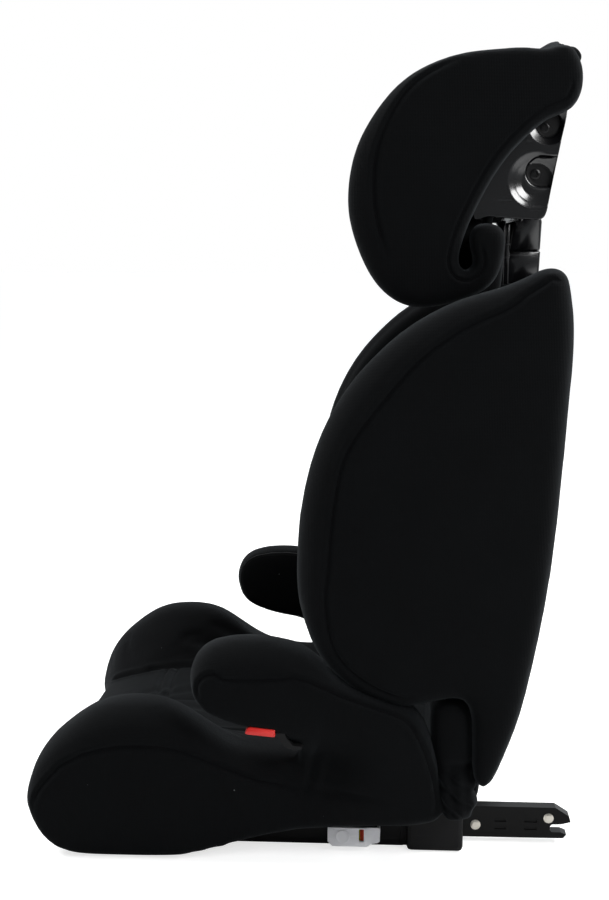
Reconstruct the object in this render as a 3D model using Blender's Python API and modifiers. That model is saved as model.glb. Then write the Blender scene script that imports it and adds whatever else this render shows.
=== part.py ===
"""High-back booster seat with sliding lower anchors.

Metres, +Z up. +X is the occupant's left, the front of the seat faces -Y, and the underside of the base lies on
Z = 0. Side outlines are given as (y, z) points and the widths across the seat as x.
"""

import math

import bmesh
import bpy
from mathutils import Matrix, Vector

# Driving dimensions.
GAP = 0.0003                # between pieces that touch
CLEARANCE = 0.0005          # round a shaft or a sliding piece
WALL = 0.003                # moulded plastic wall

SHELL_HALF_WIDTH = 0.160    # base shell
SHELL_FRONT = -0.150
SHELL_REAR = 0.160
SHELL_BOTTOM = 0.024
SHELL_TOP = 0.062
TRAY_INSET = 0.002          # tray side inside the shell side
TRAY_REAR = 0.131

COVER_HALF_WIDTH = 0.2045   # soft cover of the base
COVER_REAR = 0.0530         # where the side cover ends at the armrest
SEAT_HEIGHT = 0.080         # top of the seat in the middle
BOLSTER_HEIGHT = 0.138      # top of the thigh bolsters

INNER_HALF_WIDTH = 0.168    # inside faces of the wing frames
ARM_FRAME_THICKNESS = 0.011
ARM_PAD_THICKNESS = 0.0395
WING_FRAME_THICKNESS = 0.008
WING_PAD_THICKNESS = 0.036
SLEEVE_THICKNESS = 0.026

PIVOT_Y = 0.178             # recline axis
PIVOT_Z = 0.072
ROD_RADIUS = 0.004
LEAN = math.radians(8)      # backrest against the vertical
BACK_HEIGHT = 0.428         # top of the wings above the recline axis
WING_DEPTH = 0.229          # front to rear of a wing

BACK_SHELL_FRONT = 0.026    # distances behind the recline axis, square to the back
BACK_SHELL_DEPTH = 0.012
STALK_FRONT = -0.006
STALK_REAR = 0.0145
STALK_HALF_WIDTH = 0.040
CHANNEL_WALL = 0.0025
BACK_PAD_THICKNESS = 0.024
RACK_PITCH = 0.020
RACK_STEPS = 8

HEAD_HALF_WIDTH = 0.124     # outside of the headrest shell
HEAD_FLANGE = 0.008
HEAD_FRAME_THICKNESS = 0.0045
HEAD_PAD_THICKNESS = 0.0315
SCREW_RADIUS = 0.006

ANCHOR_X = 0.140            # middle of an anchor arm: the pair stands 280 mm apart
ANCHOR_THICKNESS = 0.012
ANCHOR_BOTTOM = 0.004
ANCHOR_TOP = 0.033
RIVET_RADIUS = 0.003
RIVET_HEAD = 0.0045
HOOK_THICKNESS = 0.0045
RIGHT_ARM_IN = 0.050        # the right arm is pushed in by this much at rest

SIDES = {"left": 1, "right": -1}


def start():
    for obj in list(bpy.data.objects):
        bpy.data.objects.remove(obj)
    made = {}
    for name in ("booster_seat", "cutters"):
        made[name] = bpy.data.collections.new(name)
        bpy.context.scene.collection.children.link(made[name])
    return made


COLLECTIONS = start()


def material(name, colour, roughness, metallic=0.0):
    made = bpy.data.materials.new(name)
    made.use_nodes = True
    shader = made.node_tree.nodes["Principled BSDF"]
    shader.inputs["Base Color"].default_value = (*colour, 1.0)
    shader.inputs["Roughness"].default_value = roughness
    shader.inputs["Metallic"].default_value = metallic
    return made


FABRIC = material("black_fabric", (0.012, 0.013, 0.015), 0.9)
GLOSS = material("gloss_black_plastic", (0.01, 0.01, 0.011), 0.12)
MATT = material("matt_black_plastic", (0.018, 0.018, 0.019), 0.55)
FOAM = material("foam", (0.75, 0.75, 0.73), 0.9)
STEEL = material("black_steel", (0.02, 0.02, 0.022), 0.4, 0.6)
ZINC = material("zinc", (0.6, 0.57, 0.5), 0.3, 1.0)
RED = material("red_plastic", (0.6, 0.01, 0.01), 0.35)
GREY = material("grey_plastic", (0.5, 0.5, 0.53), 0.5)


def empty(name, place, parent=None):
    made = bpy.data.objects.new(name, None)
    COLLECTIONS["booster_seat"].objects.link(made)
    made.location = place
    if parent:
        made.parent = parent
        made.matrix_parent_inverse = Matrix.Translation(-parent.matrix_world.translation)
    bpy.context.view_layer.update()
    return made


def add(name, mesh, finish, body, smooth_angle=35):
    """The mesh, in world coordinates, as a piece of the given body."""
    obj = bpy.data.objects.new(name, mesh)
    COLLECTIONS["booster_seat"].objects.link(obj)
    mesh.materials.clear()
    mesh.materials.append(finish)
    mesh.shade_smooth()
    mesh.set_sharp_from_angle(angle=math.radians(smooth_angle))
    obj.parent = body
    obj.matrix_parent_inverse = body.matrix_world.inverted()
    return obj


def cutter(name, mesh):
    obj = bpy.data.objects.new(name, mesh)
    COLLECTIONS["cutters"].objects.link(obj)
    obj.hide_render = True
    obj.display_type = "WIRE"
    return obj


def boolean(obj, mesh, operation="DIFFERENCE"):
    """A Boolean modifier whose other operand is a hidden helper made from the mesh."""
    made = obj.modifiers.new(operation.title(), "BOOLEAN")
    made.operation = operation
    made.object = cutter(f"{obj.name}_tool_{len(obj.modifiers)}", mesh)
    return made


def finish_mesh(name, build):
    """A mesh from a bmesh, with double points merged and faces turned outwards."""
    bmesh.ops.remove_doubles(build, verts=build.verts, dist=1e-6)
    bmesh.ops.recalc_face_normals(build, faces=build.faces)
    mesh = bpy.data.meshes.new(name)
    build.to_mesh(mesh)
    build.free()
    return mesh


def box(x0, x1, y0, y1, z0, z1, turn=None):
    build = bmesh.new()
    size = Matrix.Diagonal((abs(x1 - x0), y1 - y0, z1 - z0, 1))
    middle = Matrix.Translation(((x0 + x1) / 2, (y0 + y1) / 2, (z0 + z1) / 2))
    bmesh.ops.create_cube(build, size=1.0, matrix=middle @ size)
    if turn:
        build.transform(turn)
    return finish_mesh("box", build)


def rod(x0, x1, y, z, radius, segments=20):
    """A cylinder along X."""
    build = bmesh.new()
    turn = Matrix.Rotation(math.pi / 2, 4, "Y")
    place = Matrix.Translation(((x0 + x1) / 2, y, z))
    bmesh.ops.create_cone(build, cap_ends=True, segments=segments, radius1=radius, radius2=radius,
                          depth=abs(x1 - x0), matrix=place @ turn)
    return finish_mesh("rod", build)


def curve_through(points, steps=3):
    """A closed smooth line (Catmull-Rom) through the points."""
    line = []
    count = len(points)
    for i in range(count):
        p = [Vector(points[(i + k - 1) % count]) for k in range(4)]
        for step in range(steps):
            t = step / steps
            line.append(0.5 * ((2 * p[1]) + (p[2] - p[0]) * t + (2 * p[0] - 5 * p[1] + 4 * p[2] - p[3]) * t * t
                               + (3 * p[1] - p[0] - 3 * p[2] + p[3]) * t ** 3))
    return line


def plate(points, x0, x1, turn=None):
    """A flat outline in the side view, extruded from x0 to x1, made from a filled 2D curve."""
    curve = bpy.data.curves.new("outline", "CURVE")
    curve.dimensions = "2D"
    curve.fill_mode = "BOTH"
    curve.extrude = abs(x1 - x0) / 2
    spline = curve.splines.new("POLY")
    spline.points.add(len(points) - 1)
    for point, (y, z) in zip(spline.points, points):
        point.co = (y, z, 0, 1)
    spline.use_cyclic_u = True
    guide = bpy.data.objects.new("outline", curve)
    COLLECTIONS["cutters"].objects.link(guide)
    bpy.context.view_layer.update()
    graph = bpy.context.evaluated_depsgraph_get()
    mesh = bpy.data.meshes.new_from_object(guide.evaluated_get(graph))
    bpy.data.objects.remove(guide)
    build = bmesh.new()
    build.from_mesh(mesh)
    stand = Matrix(((0, 0, 1, (x0 + x1) / 2), (1, 0, 0, 0), (0, 1, 0, 0), (0, 0, 0, 1)))
    build.transform(stand)
    if turn:
        build.transform(turn)
    bmesh.ops.remove_doubles(build, verts=build.verts, dist=1e-6)
    bmesh.ops.dissolve_limit(build, angle_limit=0.01, verts=build.verts, edges=build.edges)
    return finish_mesh("plate", build)


def inset(line, amount):
    """The closed line moved inwards by the amount, along its normals."""
    area = sum(a.cross(b) for a, b in zip(line, line[1:] + line[:1]))
    turn = 1 if area > 0 else -1
    moved = []
    for before, here, after in zip(line[-1:] + line[:-1], line, line[1:] + line[:1]):
        along = (after - before).normalized()
        moved.append(here + Vector((-along.y, along.x)) * amount * turn)
    return moved


def pad(points, x0, x1, edge, steps=3, rings=5):
    """A soft panel: the outline rounded over its edges, lofted from x0 to x1."""
    line = curve_through(points, steps)
    build = bmesh.new()
    loops = []
    for ring in range(rings):
        angle = math.pi * (ring / (rings - 1) - 0.5)
        x = (x0 + x1) / 2 + (x1 - x0) / 2 * math.sin(angle)
        flat = inset(line, edge * (1 - math.cos(angle)))
        loops.append([build.verts.new((x, p.x, p.y)) for p in flat])
    for one, other in zip(loops, loops[1:]):
        for i in range(len(line)):
            j = (i + 1) % len(line)
            build.faces.new((one[i], one[j], other[j], other[i]))
    build.faces.new(loops[0])
    build.faces.new(loops[-1])
    return finish_mesh("pad", build)


def turned(profile, place, steps=16):
    """A solid turned about X, as a Screw modifier's mesh: (radius, x) from its outer end to its inner end."""
    mesh = bpy.data.meshes.new("profile")
    mesh.from_pydata([(r, 0, x) for r, x in profile], [(i, i + 1) for i in range(len(profile) - 1)], [])
    guide = bpy.data.objects.new("profile", mesh)
    COLLECTIONS["cutters"].objects.link(guide)
    screw = guide.modifiers.new("Screw", "SCREW")
    screw.steps = screw.render_steps = steps
    screw.use_merge_vertices = True
    screw.merge_threshold = 0.00001
    bpy.context.view_layer.update()
    graph = bpy.context.evaluated_depsgraph_get()
    made = bpy.data.meshes.new_from_object(guide.evaluated_get(graph))
    bpy.data.objects.remove(guide)
    build = bmesh.new()
    build.from_mesh(made)
    build.transform(Matrix.Translation(place) @ Matrix.Rotation(math.pi / 2, 4, "Y"))
    return finish_mesh("turned", build)


# The tilted frame of the back: x across, v square to the back and rearwards, u up along it, from the axis.
BACK = Matrix.Translation((0, PIVOT_Y, PIVOT_Z)) @ Matrix.Rotation(-LEAN, 4, "X")
SLIDE = Vector((0, math.sin(LEAN), math.cos(LEAN)))


def on_back(x0, x1, v0, v1, u0, u1):
    return box(x0, x1, v0, v1, u0, u1, BACK)


# ---------------------------------------------------------------- base

BASE = empty("base_body", (0, 0, 0))


def make_base_shell():
    """Moulded shell under the seat, open at the bottom, with a cut-out for each anchor housing."""
    shell = add("base_shell", box(-SHELL_HALF_WIDTH, SHELL_HALF_WIDTH, SHELL_FRONT, SHELL_REAR,
                                  SHELL_BOTTOM, SHELL_TOP), MATT, BASE)
    inside = SHELL_HALF_WIDTH - WALL
    boolean(shell, box(-inside, inside, SHELL_FRONT + WALL, SHELL_REAR - WALL, -0.01, SHELL_TOP - WALL))
    for side in SIDES.values():
        low, high = sorted((side * (HOUSING_IN - CLEARANCE), side * (SHELL_HALF_WIDTH + 0.01)))
        boolean(shell, box(low, high, HOUSING_FRONT, SHELL_REAR + 0.01, 0, HOUSING_TOP + CLEARANCE))


def make_bottom_tray():
    """Flat tray that the seat stands on; its walls reach up to the shell."""
    half = SHELL_HALF_WIDTH - TRAY_INSET
    front = SHELL_FRONT + 0.001
    tray = add("bottom_tray", box(-half, half, front, TRAY_REAR, 0, SHELL_BOTTOM - GAP), MATT, BASE)
    boolean(tray, box(WALL - half, half - WALL, front + WALL, TRAY_REAR - WALL, WALL, 0.1))
    for side in SIDES.values():
        reach = CHANNEL_HALF + CHANNEL_STEEL + CLEARANCE
        low, high = sorted((side * (ANCHOR_X - reach), side * (ANCHOR_X + reach)))
        boolean(tray, box(low, high, TRAY_REAR - 0.01, TRAY_REAR + 0.01, WALL, 0.1))


def seat_top(x, along):
    """Height of the cover at x across the seat and at a share of its length, front to rear."""
    middle = SEAT_HEIGHT - 0.010 * max(0.0, 1 - along / 0.12) ** 2
    rise = (BOLSTER_HEIGHT - SEAT_HEIGHT) * math.exp(-((along - 0.27) / 0.20) ** 2)
    rear_rise = 0.010 * along
    share = min(1.0, max(0.0, (abs(x) - 0.105) / 0.062))
    share = share * share * (3 - 2 * share)
    outer = max(0.0, (abs(x) - 0.170) / (COVER_HALF_WIDTH - 0.170))
    return middle + (rise + rear_rise) * share - 0.036 * outer ** 2 * (1 + 0.2 * along)


def make_seat_cover():
    """Soft cover and padding of the base: a front roll, a flat middle and a bolster along each thigh."""
    across = [0, 0.055, 0.105, 0.127, 0.148, 0.168, 0.184, 0.196, COVER_HALF_WIDTH]
    count = 17
    build = bmesh.new()
    rows = []
    for x in across:
        bulge = 0.015 * math.exp(-((x - 0.165) / 0.035) ** 2)
        front = -0.188 - bulge + 0.05 * max(0, x - 0.185)
        rear = SHELL_REAR
        row = []
        for i in range(count):
            along = (1 - math.cos(math.pi / 2 * i / (count - 1)))
            y = front + (rear - front) * along
            top = seat_top(x, along)
            nose = min(1.0, along / 0.09)
            nose = math.sqrt(max(0.0, 1 - (1 - nose) ** 2))
            low = 0.019 * max(0.0, min(1.0, (y + 0.062) / 0.060)) + 0.012 * max(0.0, min(1.0, y / COVER_REAR))
            edge = 0.052
            side_lift = 0.010 * max(0.0, (x - 0.190) / (COVER_HALF_WIDTH - 0.190))
            row.append((x, y, edge + (top - edge) * nose, edge + (low + side_lift - edge) * nose))
        rows.append(row)
    top = [[build.verts.new((x, y, z)) for x, y, z, _ in row] for row in rows]
    bottom = [[build.verts.new((x, y, z)) for x, y, _, z in row] for row in rows]
    for a in range(len(rows) - 1):
        for i in range(count - 1):
            build.faces.new((top[a][i], top[a + 1][i], top[a + 1][i + 1], top[a][i + 1]))
            build.faces.new((bottom[a][i], bottom[a][i + 1], bottom[a + 1][i + 1], bottom[a + 1][i]))
        build.faces.new((top[a][-1], top[a + 1][-1], bottom[a + 1][-1], bottom[a][-1]))
    for i in range(count - 1):
        build.faces.new((top[-1][i], bottom[-1][i], bottom[-1][i + 1], top[-1][i + 1]))
    cover = add("seat_cover", finish_mesh("seat_cover", build), FABRIC, BASE, 60)
    mirror = cover.modifiers.new("Mirror", "MIRROR")
    mirror.merge_threshold = 0.00001
    half = SHELL_HALF_WIDTH + 0.0005
    boolean(cover, box(-half, half, SHELL_FRONT - 0.0005, SHELL_REAR + 0.02, -0.02, SHELL_TOP + 0.0005))
    for side in SIDES.values():
        low, high = sorted((side * (INNER_HALF_WIDTH - 0.0015), side * 0.3))
        boolean(cover, box(low, high, COVER_REAR, 0.3, -0.1, 0.3))
        low, high = sorted((side * (half - 0.001), side * 0.3))
        boolean(cover, box(low, high, COVER_REAR, 0.3, -0.1, HOUSING_TOP + 0.005))


# Armrest: a padded horn that rises from the rear of the base and reaches forwards.
ARMREST = [(-0.052, 0.157), (-0.048, 0.180), (-0.030, 0.194), (0.005, 0.198), (0.038, 0.193), (0.055, 0.183),
           (0.068, 0.171), (0.088, 0.159), (0.112, 0.150), (0.134, 0.142), (0.148, 0.128), (0.157, 0.105),
           (0.163, 0.075), (0.163, 0.049), (0.150, 0.034), (0.110, 0.033), (0.070, 0.033), (0.056, 0.049),
           (0.055, 0.085), (0.048, 0.112), (0.022, 0.1255), (-0.008, 0.127), (-0.040, 0.137)]


def make_armrests():
    frame_out = INNER_HALF_WIDTH + 0.002 + ARM_FRAME_THICKNESS
    for name, side in SIDES.items():
        line = [Vector((p.x, max(p.y, HOUSING_TOP + 0.002))) for p in inset(curve_through(ARMREST, 2), 0.006)]
        add(f"armrest_frame_{name}", plate(line, side * (INNER_HALF_WIDTH + 0.002), side * frame_out), MATT, BASE)
        inner = frame_out + GAP
        add(f"armrest_pad_{name}", pad(ARMREST, side * inner, side * (inner + ARM_PAD_THICKNESS), 0.011, 2),
            FABRIC, BASE, 60)


def make_belt_guides():
    """Red hook under each armrest for the lap belt, and the dark lip that closes it from behind."""
    inner = INNER_HALF_WIDTH + 0.028
    outer = inner + 0.0205
    for name, side in SIDES.items():
        hook = [(-0.001, 0.1162), (0.023, 0.1162), (0.023, 0.1238), (0.002, 0.1238)]
        add(f"belt_guide_{name}", plate(hook, side * inner, side * outer), RED, BASE)
        lip = [(0.0245, 0.117), (0.031, 0.108), (0.040, 0.1045), (0.046, 0.1065), (0.045, 0.1085), (0.038, 0.109),
               (0.033, 0.1145), (0.031, 0.1195), (0.025, 0.1195)]
        add(f"belt_guide_lip_{name}", plate(lip, side * inner, side * (outer - 0.002)), MATT, BASE)


# Anchor housing, guide channel and arm share the tunnel round the arm.
CHANNEL_HALF = 0.0125
CHANNEL_STEEL = 0.0015
TUNNEL_BOTTOM = 0.0023
TUNNEL_TOP = 0.0355
HOUSING_FRONT = TRAY_REAR + 0.003
HOUSING_REAR = 0.183
HOUSING_IN = 0.112
HOUSING_OUT = 0.171
HOUSING_TOP = 0.040


def make_anchor_housings():
    for name, side in SIDES.items():
        low, high = sorted((side * HOUSING_IN, side * HOUSING_OUT))
        housing = add(f"anchor_housing_{name}", box(low, high, HOUSING_FRONT, HOUSING_REAR, 0, HOUSING_TOP),
                      MATT, BASE)
        bevel = housing.modifiers.new("Bevel", "BEVEL")
        bevel.width = 0.004
        bevel.segments = 2
        bevel.limit_method = "ANGLE"
        low, high = sorted((side * (ANCHOR_X - CHANNEL_HALF), side * (ANCHOR_X + CHANNEL_HALF)))
        boolean(housing, box(low, high, 0.1, 0.2, TUNNEL_BOTTOM, TUNNEL_TOP))


def make_guide_channels():
    """Bent steel guide in the tray, open downwards, that the arm slides in."""
    for name, side in SIDES.items():
        reach = CHANNEL_HALF + CHANNEL_STEEL
        low, high = sorted((side * (ANCHOR_X - reach), side * (ANCHOR_X + reach)))
        channel = add(f"anchor_channel_{name}", box(low, high, -0.055, HOUSING_FRONT - GAP, WALL + GAP,
                                                    TUNNEL_TOP + CHANNEL_STEEL), STEEL, BASE)
        low, high = sorted((side * (ANCHOR_X - CHANNEL_HALF), side * (ANCHOR_X + CHANNEL_HALF)))
        boolean(channel, box(low, high, -0.1, 0.2, -0.01, TUNNEL_TOP))


SLIDER = (0.065, 0.111)     # front and rear of the release slider
SLIDER_IN = SHELL_HALF_WIDTH + 0.0015
SLIDER_OUT = 0.177
WINDOW = (0.0915, 0.0985)


def make_indicator_strips():
    """Two-colour strip on the tray wall, seen through the slider's window."""
    for name, side in SIDES.items():
        wall = SHELL_HALF_WIDTH - TRAY_INSET
        low, high = sorted((side * (wall + GAP), side * (wall + 0.0012)))
        add(f"indicator_strip_{name}", box(low, high, WINDOW[0] - 0.002, WINDOW[1] + 0.010, 0.009, 0.019),
            RED, BASE)


# Sleeve over the end of the recline hinge, beside the wing.
SLEEVE = [(0.161, 0.140), (0.174, 0.146), (0.185, 0.138), (0.188, 0.122), (0.187, 0.095), (0.184, 0.070),
          (0.184, 0.048), (0.178, 0.042), (0.169, 0.046), (0.1685, 0.075), (0.165, 0.098), (0.159, 0.122)]


def make_hinge_sleeves():
    for name, side in SIDES.items():
        inner = INNER_HALF_WIDTH + WING_FRAME_THICKNESS + 0.003
        add(f"hinge_sleeve_{name}", pad(SLEEVE, side * inner, side * (inner + SLEEVE_THICKNESS), 0.005, 2),
            FABRIC, BASE, 60)


BRACKET_X = (0.138, 0.146)


def make_recline_hinge():
    """A lug on each side of the base carries the rod that the backrest turns on."""
    for name, side in SIDES.items():
        low, high = sorted(side * x for x in BRACKET_X)
        lug = add(f"pivot_bracket_{name}", box(low, high, SHELL_REAR + GAP, PIVOT_Y + 0.011, HOUSING_TOP + 0.002,
                                               PIVOT_Z + 0.011), MATT, BASE)
        boolean(lug, rod(-0.2, 0.2, PIVOT_Y, PIVOT_Z, ROD_RADIUS + GAP))
    end = BRACKET_X[1] + 0.004
    add("pivot_rod", rod(-end, end, PIVOT_Y, PIVOT_Z, ROD_RADIUS), ZINC, BASE)


# ---------------------------------------------------------------- lower anchors

RIVET_FRONT = (0.195, 0.016)
RIVET_REAR = (0.259, 0.0235)
ARM_FRONT = 0.050


def moved(points, shift):
    return [(y + shift, z) for y, z in points]


def make_anchor_arms():
    """Steel arm with a jaw for the vehicle's anchor bar; the hook turns on the rear rivet and shuts the jaw."""
    jaw = [(ARM_FRONT, ANCHOR_BOTTOM), (0.272, ANCHOR_BOTTOM + 0.001), (0.275, 0.0085), (0.270, 0.0105),
           (0.262, 0.0105), (0.2605, 0.0125), (0.2605, 0.0158), (0.262, 0.0175), (0.270, 0.0178), (0.2785, 0.020),
           (0.277, 0.0255), (0.265, ANCHOR_TOP), (ARM_FRONT, ANCHOR_TOP)]
    slots = [((0.212, 0.012), (0.222, 0.015)), ((0.238, 0.012), (0.249, 0.015))]
    for name, side in SIDES.items():
        shift = 0 if side > 0 else -RIGHT_ARM_IN
        body = empty(f"anchor_arm_{name}_body", (side * ANCHOR_X, ARM_FRONT + shift, 0.0185), BASE)
        low, high = sorted(side * (ANCHOR_X + k * ANCHOR_THICKNESS / 2) for k in (-1, 1))
        arm = add(f"anchor_arm_{name}", plate(moved(jaw, shift), low, high), STEEL, body)
        face = side * (ANCHOR_X + ANCHOR_THICKNESS / 2)
        for (y0, z0), (y1, z1) in slots:
            for rise in (0, 0.007):
                a, b = sorted((face - side * 0.0012, face + side * 0.01))
                boolean(arm, box(a, b, y0 + shift, y1 + shift, z0 + rise, z1 + rise))
        for label, (y, z) in (("front", RIVET_FRONT), ("rear", RIVET_REAR)):
            boolean(arm, rod(-0.3, 0.3, y + shift, z, RIVET_RADIUS + GAP))
            inner = ANCHOR_THICKNESS / 2 + CLEARANCE
            if label == "rear":
                inner += HOOK_THICKNESS
            outer = ANCHOR_THICKNESS / 2 + GAP
            ends = (outer + 0.0011, outer, -inner, -inner - 0.0009)
            profile = [(0, ends[0]), (RIVET_HEAD * 0.6, ends[0]), (RIVET_HEAD, (ends[0] + ends[1]) / 2),
                       (RIVET_HEAD, ends[1]), (RIVET_RADIUS, ends[1]), (RIVET_RADIUS, ends[2]),
                       (RIVET_HEAD, ends[2]), (RIVET_HEAD, ends[3]), (0, ends[3])]
            mesh = turned([(r, side * x) for r, x in profile], (side * ANCHOR_X, y + shift, z))
            add(f"anchor_rivet_{label}_{name}", mesh, ZINC, body)
        hook_body = empty(f"latch_hook_{name}_body", (side * ANCHOR_X, RIVET_REAR[0] + shift, RIVET_REAR[1]), body)
        y, z = RIVET_REAR
        hook = [(y + 0.006 * math.cos(a), z + 0.006 * math.sin(a)) for a in
                [math.radians(d) for d in range(-130, 131, 20)]]
        hook += [(y - 0.012, z + 0.0035), (y - 0.0165, z + 0.001), (y - 0.0165, z - 0.002), (y - 0.010, z - 0.002)]
        near = ANCHOR_X - ANCHOR_THICKNESS / 2 - GAP
        low, high = sorted((side * (near - HOOK_THICKNESS + GAP), side * near))
        claw = add(f"latch_hook_{name}", plate(moved(hook, shift), low, high), ZINC, hook_body)
        boolean(claw, rod(-0.3, 0.3, y + shift, z, RIVET_RADIUS + GAP))


def make_release_sliders():
    """Grey slider on the side of the base that frees the hook; its window shows the strip behind."""
    for name, side in SIDES.items():
        body = empty(f"release_slider_{name}_body", (side * SLIDER_IN, SLIDER[0], 0.014), BASE)
        outline = [(SLIDER[0], 0.006), (SLIDER[1] - 0.011, 0.006), (SLIDER[1] - 0.0095, 0.0085),
                   (SLIDER[1], 0.0085), (SLIDER[1], 0.0215), (SLIDER[0], 0.0215)]
        slider = add(f"release_slider_{name}", plate(outline, side * SLIDER_IN, side * SLIDER_OUT), GREY, body)
        low, high = sorted((side * (SLIDER_IN - 0.01), side * (SLIDER_OUT + 0.01)))
        boolean(slider, box(low, high, WINDOW[0], WINDOW[1], 0.0095, 0.0205))


# ---------------------------------------------------------------- backrest

BACKREST = empty("backrest_body", (0, PIVOT_Y, PIVOT_Z), BASE)

# Wing outline: y in wing depths from its front, z in back heights from the recline axis.
WING = [(0.970, 1.000), (0.720, 0.974), (0.367, 0.886), (0.131, 0.730), (0.004, 0.510), (0.010, 0.345),
        (0.048, 0.283), (0.118, 0.243), (0.226, 0.212), (0.350, 0.1835), (0.480, 0.181), (0.600, 0.187),
        (0.662, 0.155), (0.668, 0.080), (0.672, 0.004), (0.725, -0.008), (0.790, 0.070), (0.862, 0.190),
        (0.945, 0.440), (0.990, 0.740), (1.000, 0.900)]
WING_FRONT = 0.040


def wing_line():
    return [(WING_FRONT + y * WING_DEPTH, PIVOT_Z + z * BACK_HEIGHT) for y, z in WING]


BACK_SHELL_HALF = INNER_HALF_WIDTH - 0.003
HINGE_ARM_X = (0.118, 0.134)


def make_back_shell():
    """Moulded back, open at the front, with an arm at each side that turns on the rod."""
    rear = BACK_SHELL_FRONT + BACK_SHELL_DEPTH
    low, high = 0.030, BACK_HEIGHT - 0.015
    shell = add("back_shell", on_back(-BACK_SHELL_HALF, BACK_SHELL_HALF, BACK_SHELL_FRONT, rear, low, high),
                MATT, BACKREST)
    inside = BACK_SHELL_HALF - WALL
    boolean(shell, on_back(-inside, inside, BACK_SHELL_FRONT - 0.01, rear - WALL, low + WALL, high - WALL))
    for side in SIDES.values():
        x0, x1 = sorted(side * x for x in HINGE_ARM_X)
        boolean(shell, on_back(x0, x1, -0.009, rear - 0.001, -0.009, low + 0.010), "UNION")
        boolean(shell, rod(-0.3, 0.3, PIVOT_Y, PIVOT_Z, ROD_RADIUS + CLEARANCE))


CHANNEL = (STALK_FRONT - CLEARANCE - CHANNEL_WALL, BACK_SHELL_FRONT - CLEARANCE)
CHANNEL_U = (0.190, BACK_HEIGHT - 0.030)


def make_guide_channel():
    """Square tube that the headrest's stalk slides in."""
    half = STALK_HALF_WIDTH + CLEARANCE + CHANNEL_WALL
    channel = add("guide_channel", on_back(-half, half, *CHANNEL, *CHANNEL_U), MATT, BACKREST)
    boolean(channel, on_back(CHANNEL_WALL - half, half - CHANNEL_WALL, CHANNEL[0] + CHANNEL_WALL,
                             CHANNEL[1] - CHANNEL_WALL, 0.1, 0.6))


RACK = (STALK_REAR + 0.0035, CHANNEL[1] - CHANNEL_WALL - GAP)
STALK_BOTTOM = 0.230        # lower end of the stalk at rest, up the back
LOCK_U = STALK_BOTTOM + 0.012


def make_height_rack():
    """Ladder that the lock bar drops into, one rung for each height."""
    low = LOCK_U - 1.5 * RACK_PITCH
    high = LOCK_U + (RACK_STEPS - 1.5) * RACK_PITCH
    rack = add("height_rack", on_back(-0.017, 0.017, *RACK, low, high), STEEL, BACKREST)
    for step in range(RACK_STEPS):
        middle = LOCK_U + (step - 1) * RACK_PITCH
        boolean(rack, on_back(-0.012, 0.012, 0, 0.1, middle - 0.0032, middle + 0.0032))


BACK_PAD_TOP = 0.366


def make_back_padding():
    """Fabric-covered pad at the front, and foam blocks between it and the shell at each side."""
    half = BACK_SHELL_HALF
    front = CHANNEL[0] - 0.0005 - BACK_PAD_THICKNESS
    cushion = add("back_pad", on_back(-half, half, front, CHANNEL[0] - 0.0005, 0.030, BACK_PAD_TOP), FABRIC,
                  BACKREST)
    bevel = cushion.modifiers.new("Bevel", "BEVEL")
    bevel.width = 0.009
    bevel.segments = 2
    for name, side in SIDES.items():
        inner = STALK_HALF_WIDTH + CLEARANCE + CHANNEL_WALL + 0.002
        low, high = sorted((side * inner, side * half))
        add(f"foam_block_{name}", on_back(low, high, CHANNEL[0], CHANNEL[1], 0.042, BACK_PAD_TOP - 0.002), FOAM,
            BACKREST)


def make_side_wings():
    frame_out = INNER_HALF_WIDTH + WING_FRAME_THICKNESS
    for name, side in SIDES.items():
        line = inset(curve_through(wing_line(), 2), 0.007)
        add(f"wing_frame_{name}", plate(line, side * INNER_HALF_WIDTH, side * frame_out), MATT, BACKREST)
        inner = frame_out + GAP
        add(f"side_wing_{name}", pad(wing_line(), side * inner, side * (inner + WING_PAD_THICKNESS), 0.006, 2),
            FABRIC, BACKREST, 60)


# ---------------------------------------------------------------- headrest

LIFT = SLIDE * ((BACK_HEIGHT - 0.428) / math.cos(LEAN))
HEADREST = empty("headrest_body", (0, PIVOT_Y, PIVOT_Z), BACKREST)


def lifted(points):
    """Headrest outlines move up with the top of the back."""
    return [(y + LIFT.y, z + LIFT.z) for y, z in points]


HEAD_PLATE = (-0.0195, -0.0165)
HEAD_BOTTOM = 0.474 + BACK_HEIGHT - 0.428     # lower edge of the shell, up the back
HEAD_TOP = HEAD_BOTTOM + 0.140
RECESSES = ((0.238, 0.583), (0.2445, 0.622))
RECESS_RADIUS = 0.0195


def make_head_shell():
    """Gloss shell: a back plate between two flanges, each with two round recesses for the screws."""
    shell = add("head_shell", on_back(-HEAD_HALF_WIDTH, HEAD_HALF_WIDTH, *HEAD_PLATE, HEAD_BOTTOM, HEAD_TOP),
                GLOSS, HEADREST)
    flange = lifted([(0.192, 0.551), (0.209, 0.550), (0.226, 0.546), (0.248, 0.545), (0.2555, 0.590),
                     (0.263, 0.640), (0.262, 0.668), (0.235, 0.672), (0.205, 0.655), (0.188, 0.610)])
    for side in SIDES.values():
        low, high = sorted((side * (HEAD_HALF_WIDTH - HEAD_FLANGE), side * HEAD_HALF_WIDTH))
        boolean(shell, plate(flange, low, high), "UNION")
        face = HEAD_HALF_WIDTH - HEAD_FLANGE + WALL
        low, high = sorted((side * face, side * 0.2))
        for y, z in lifted(RECESSES):
            radius = RECESS_RADIUS if z < 0.6 + LIFT.z else RECESS_RADIUS * 0.8
            boolean(shell, rod(low, high, y, z, radius, 24))


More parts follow.
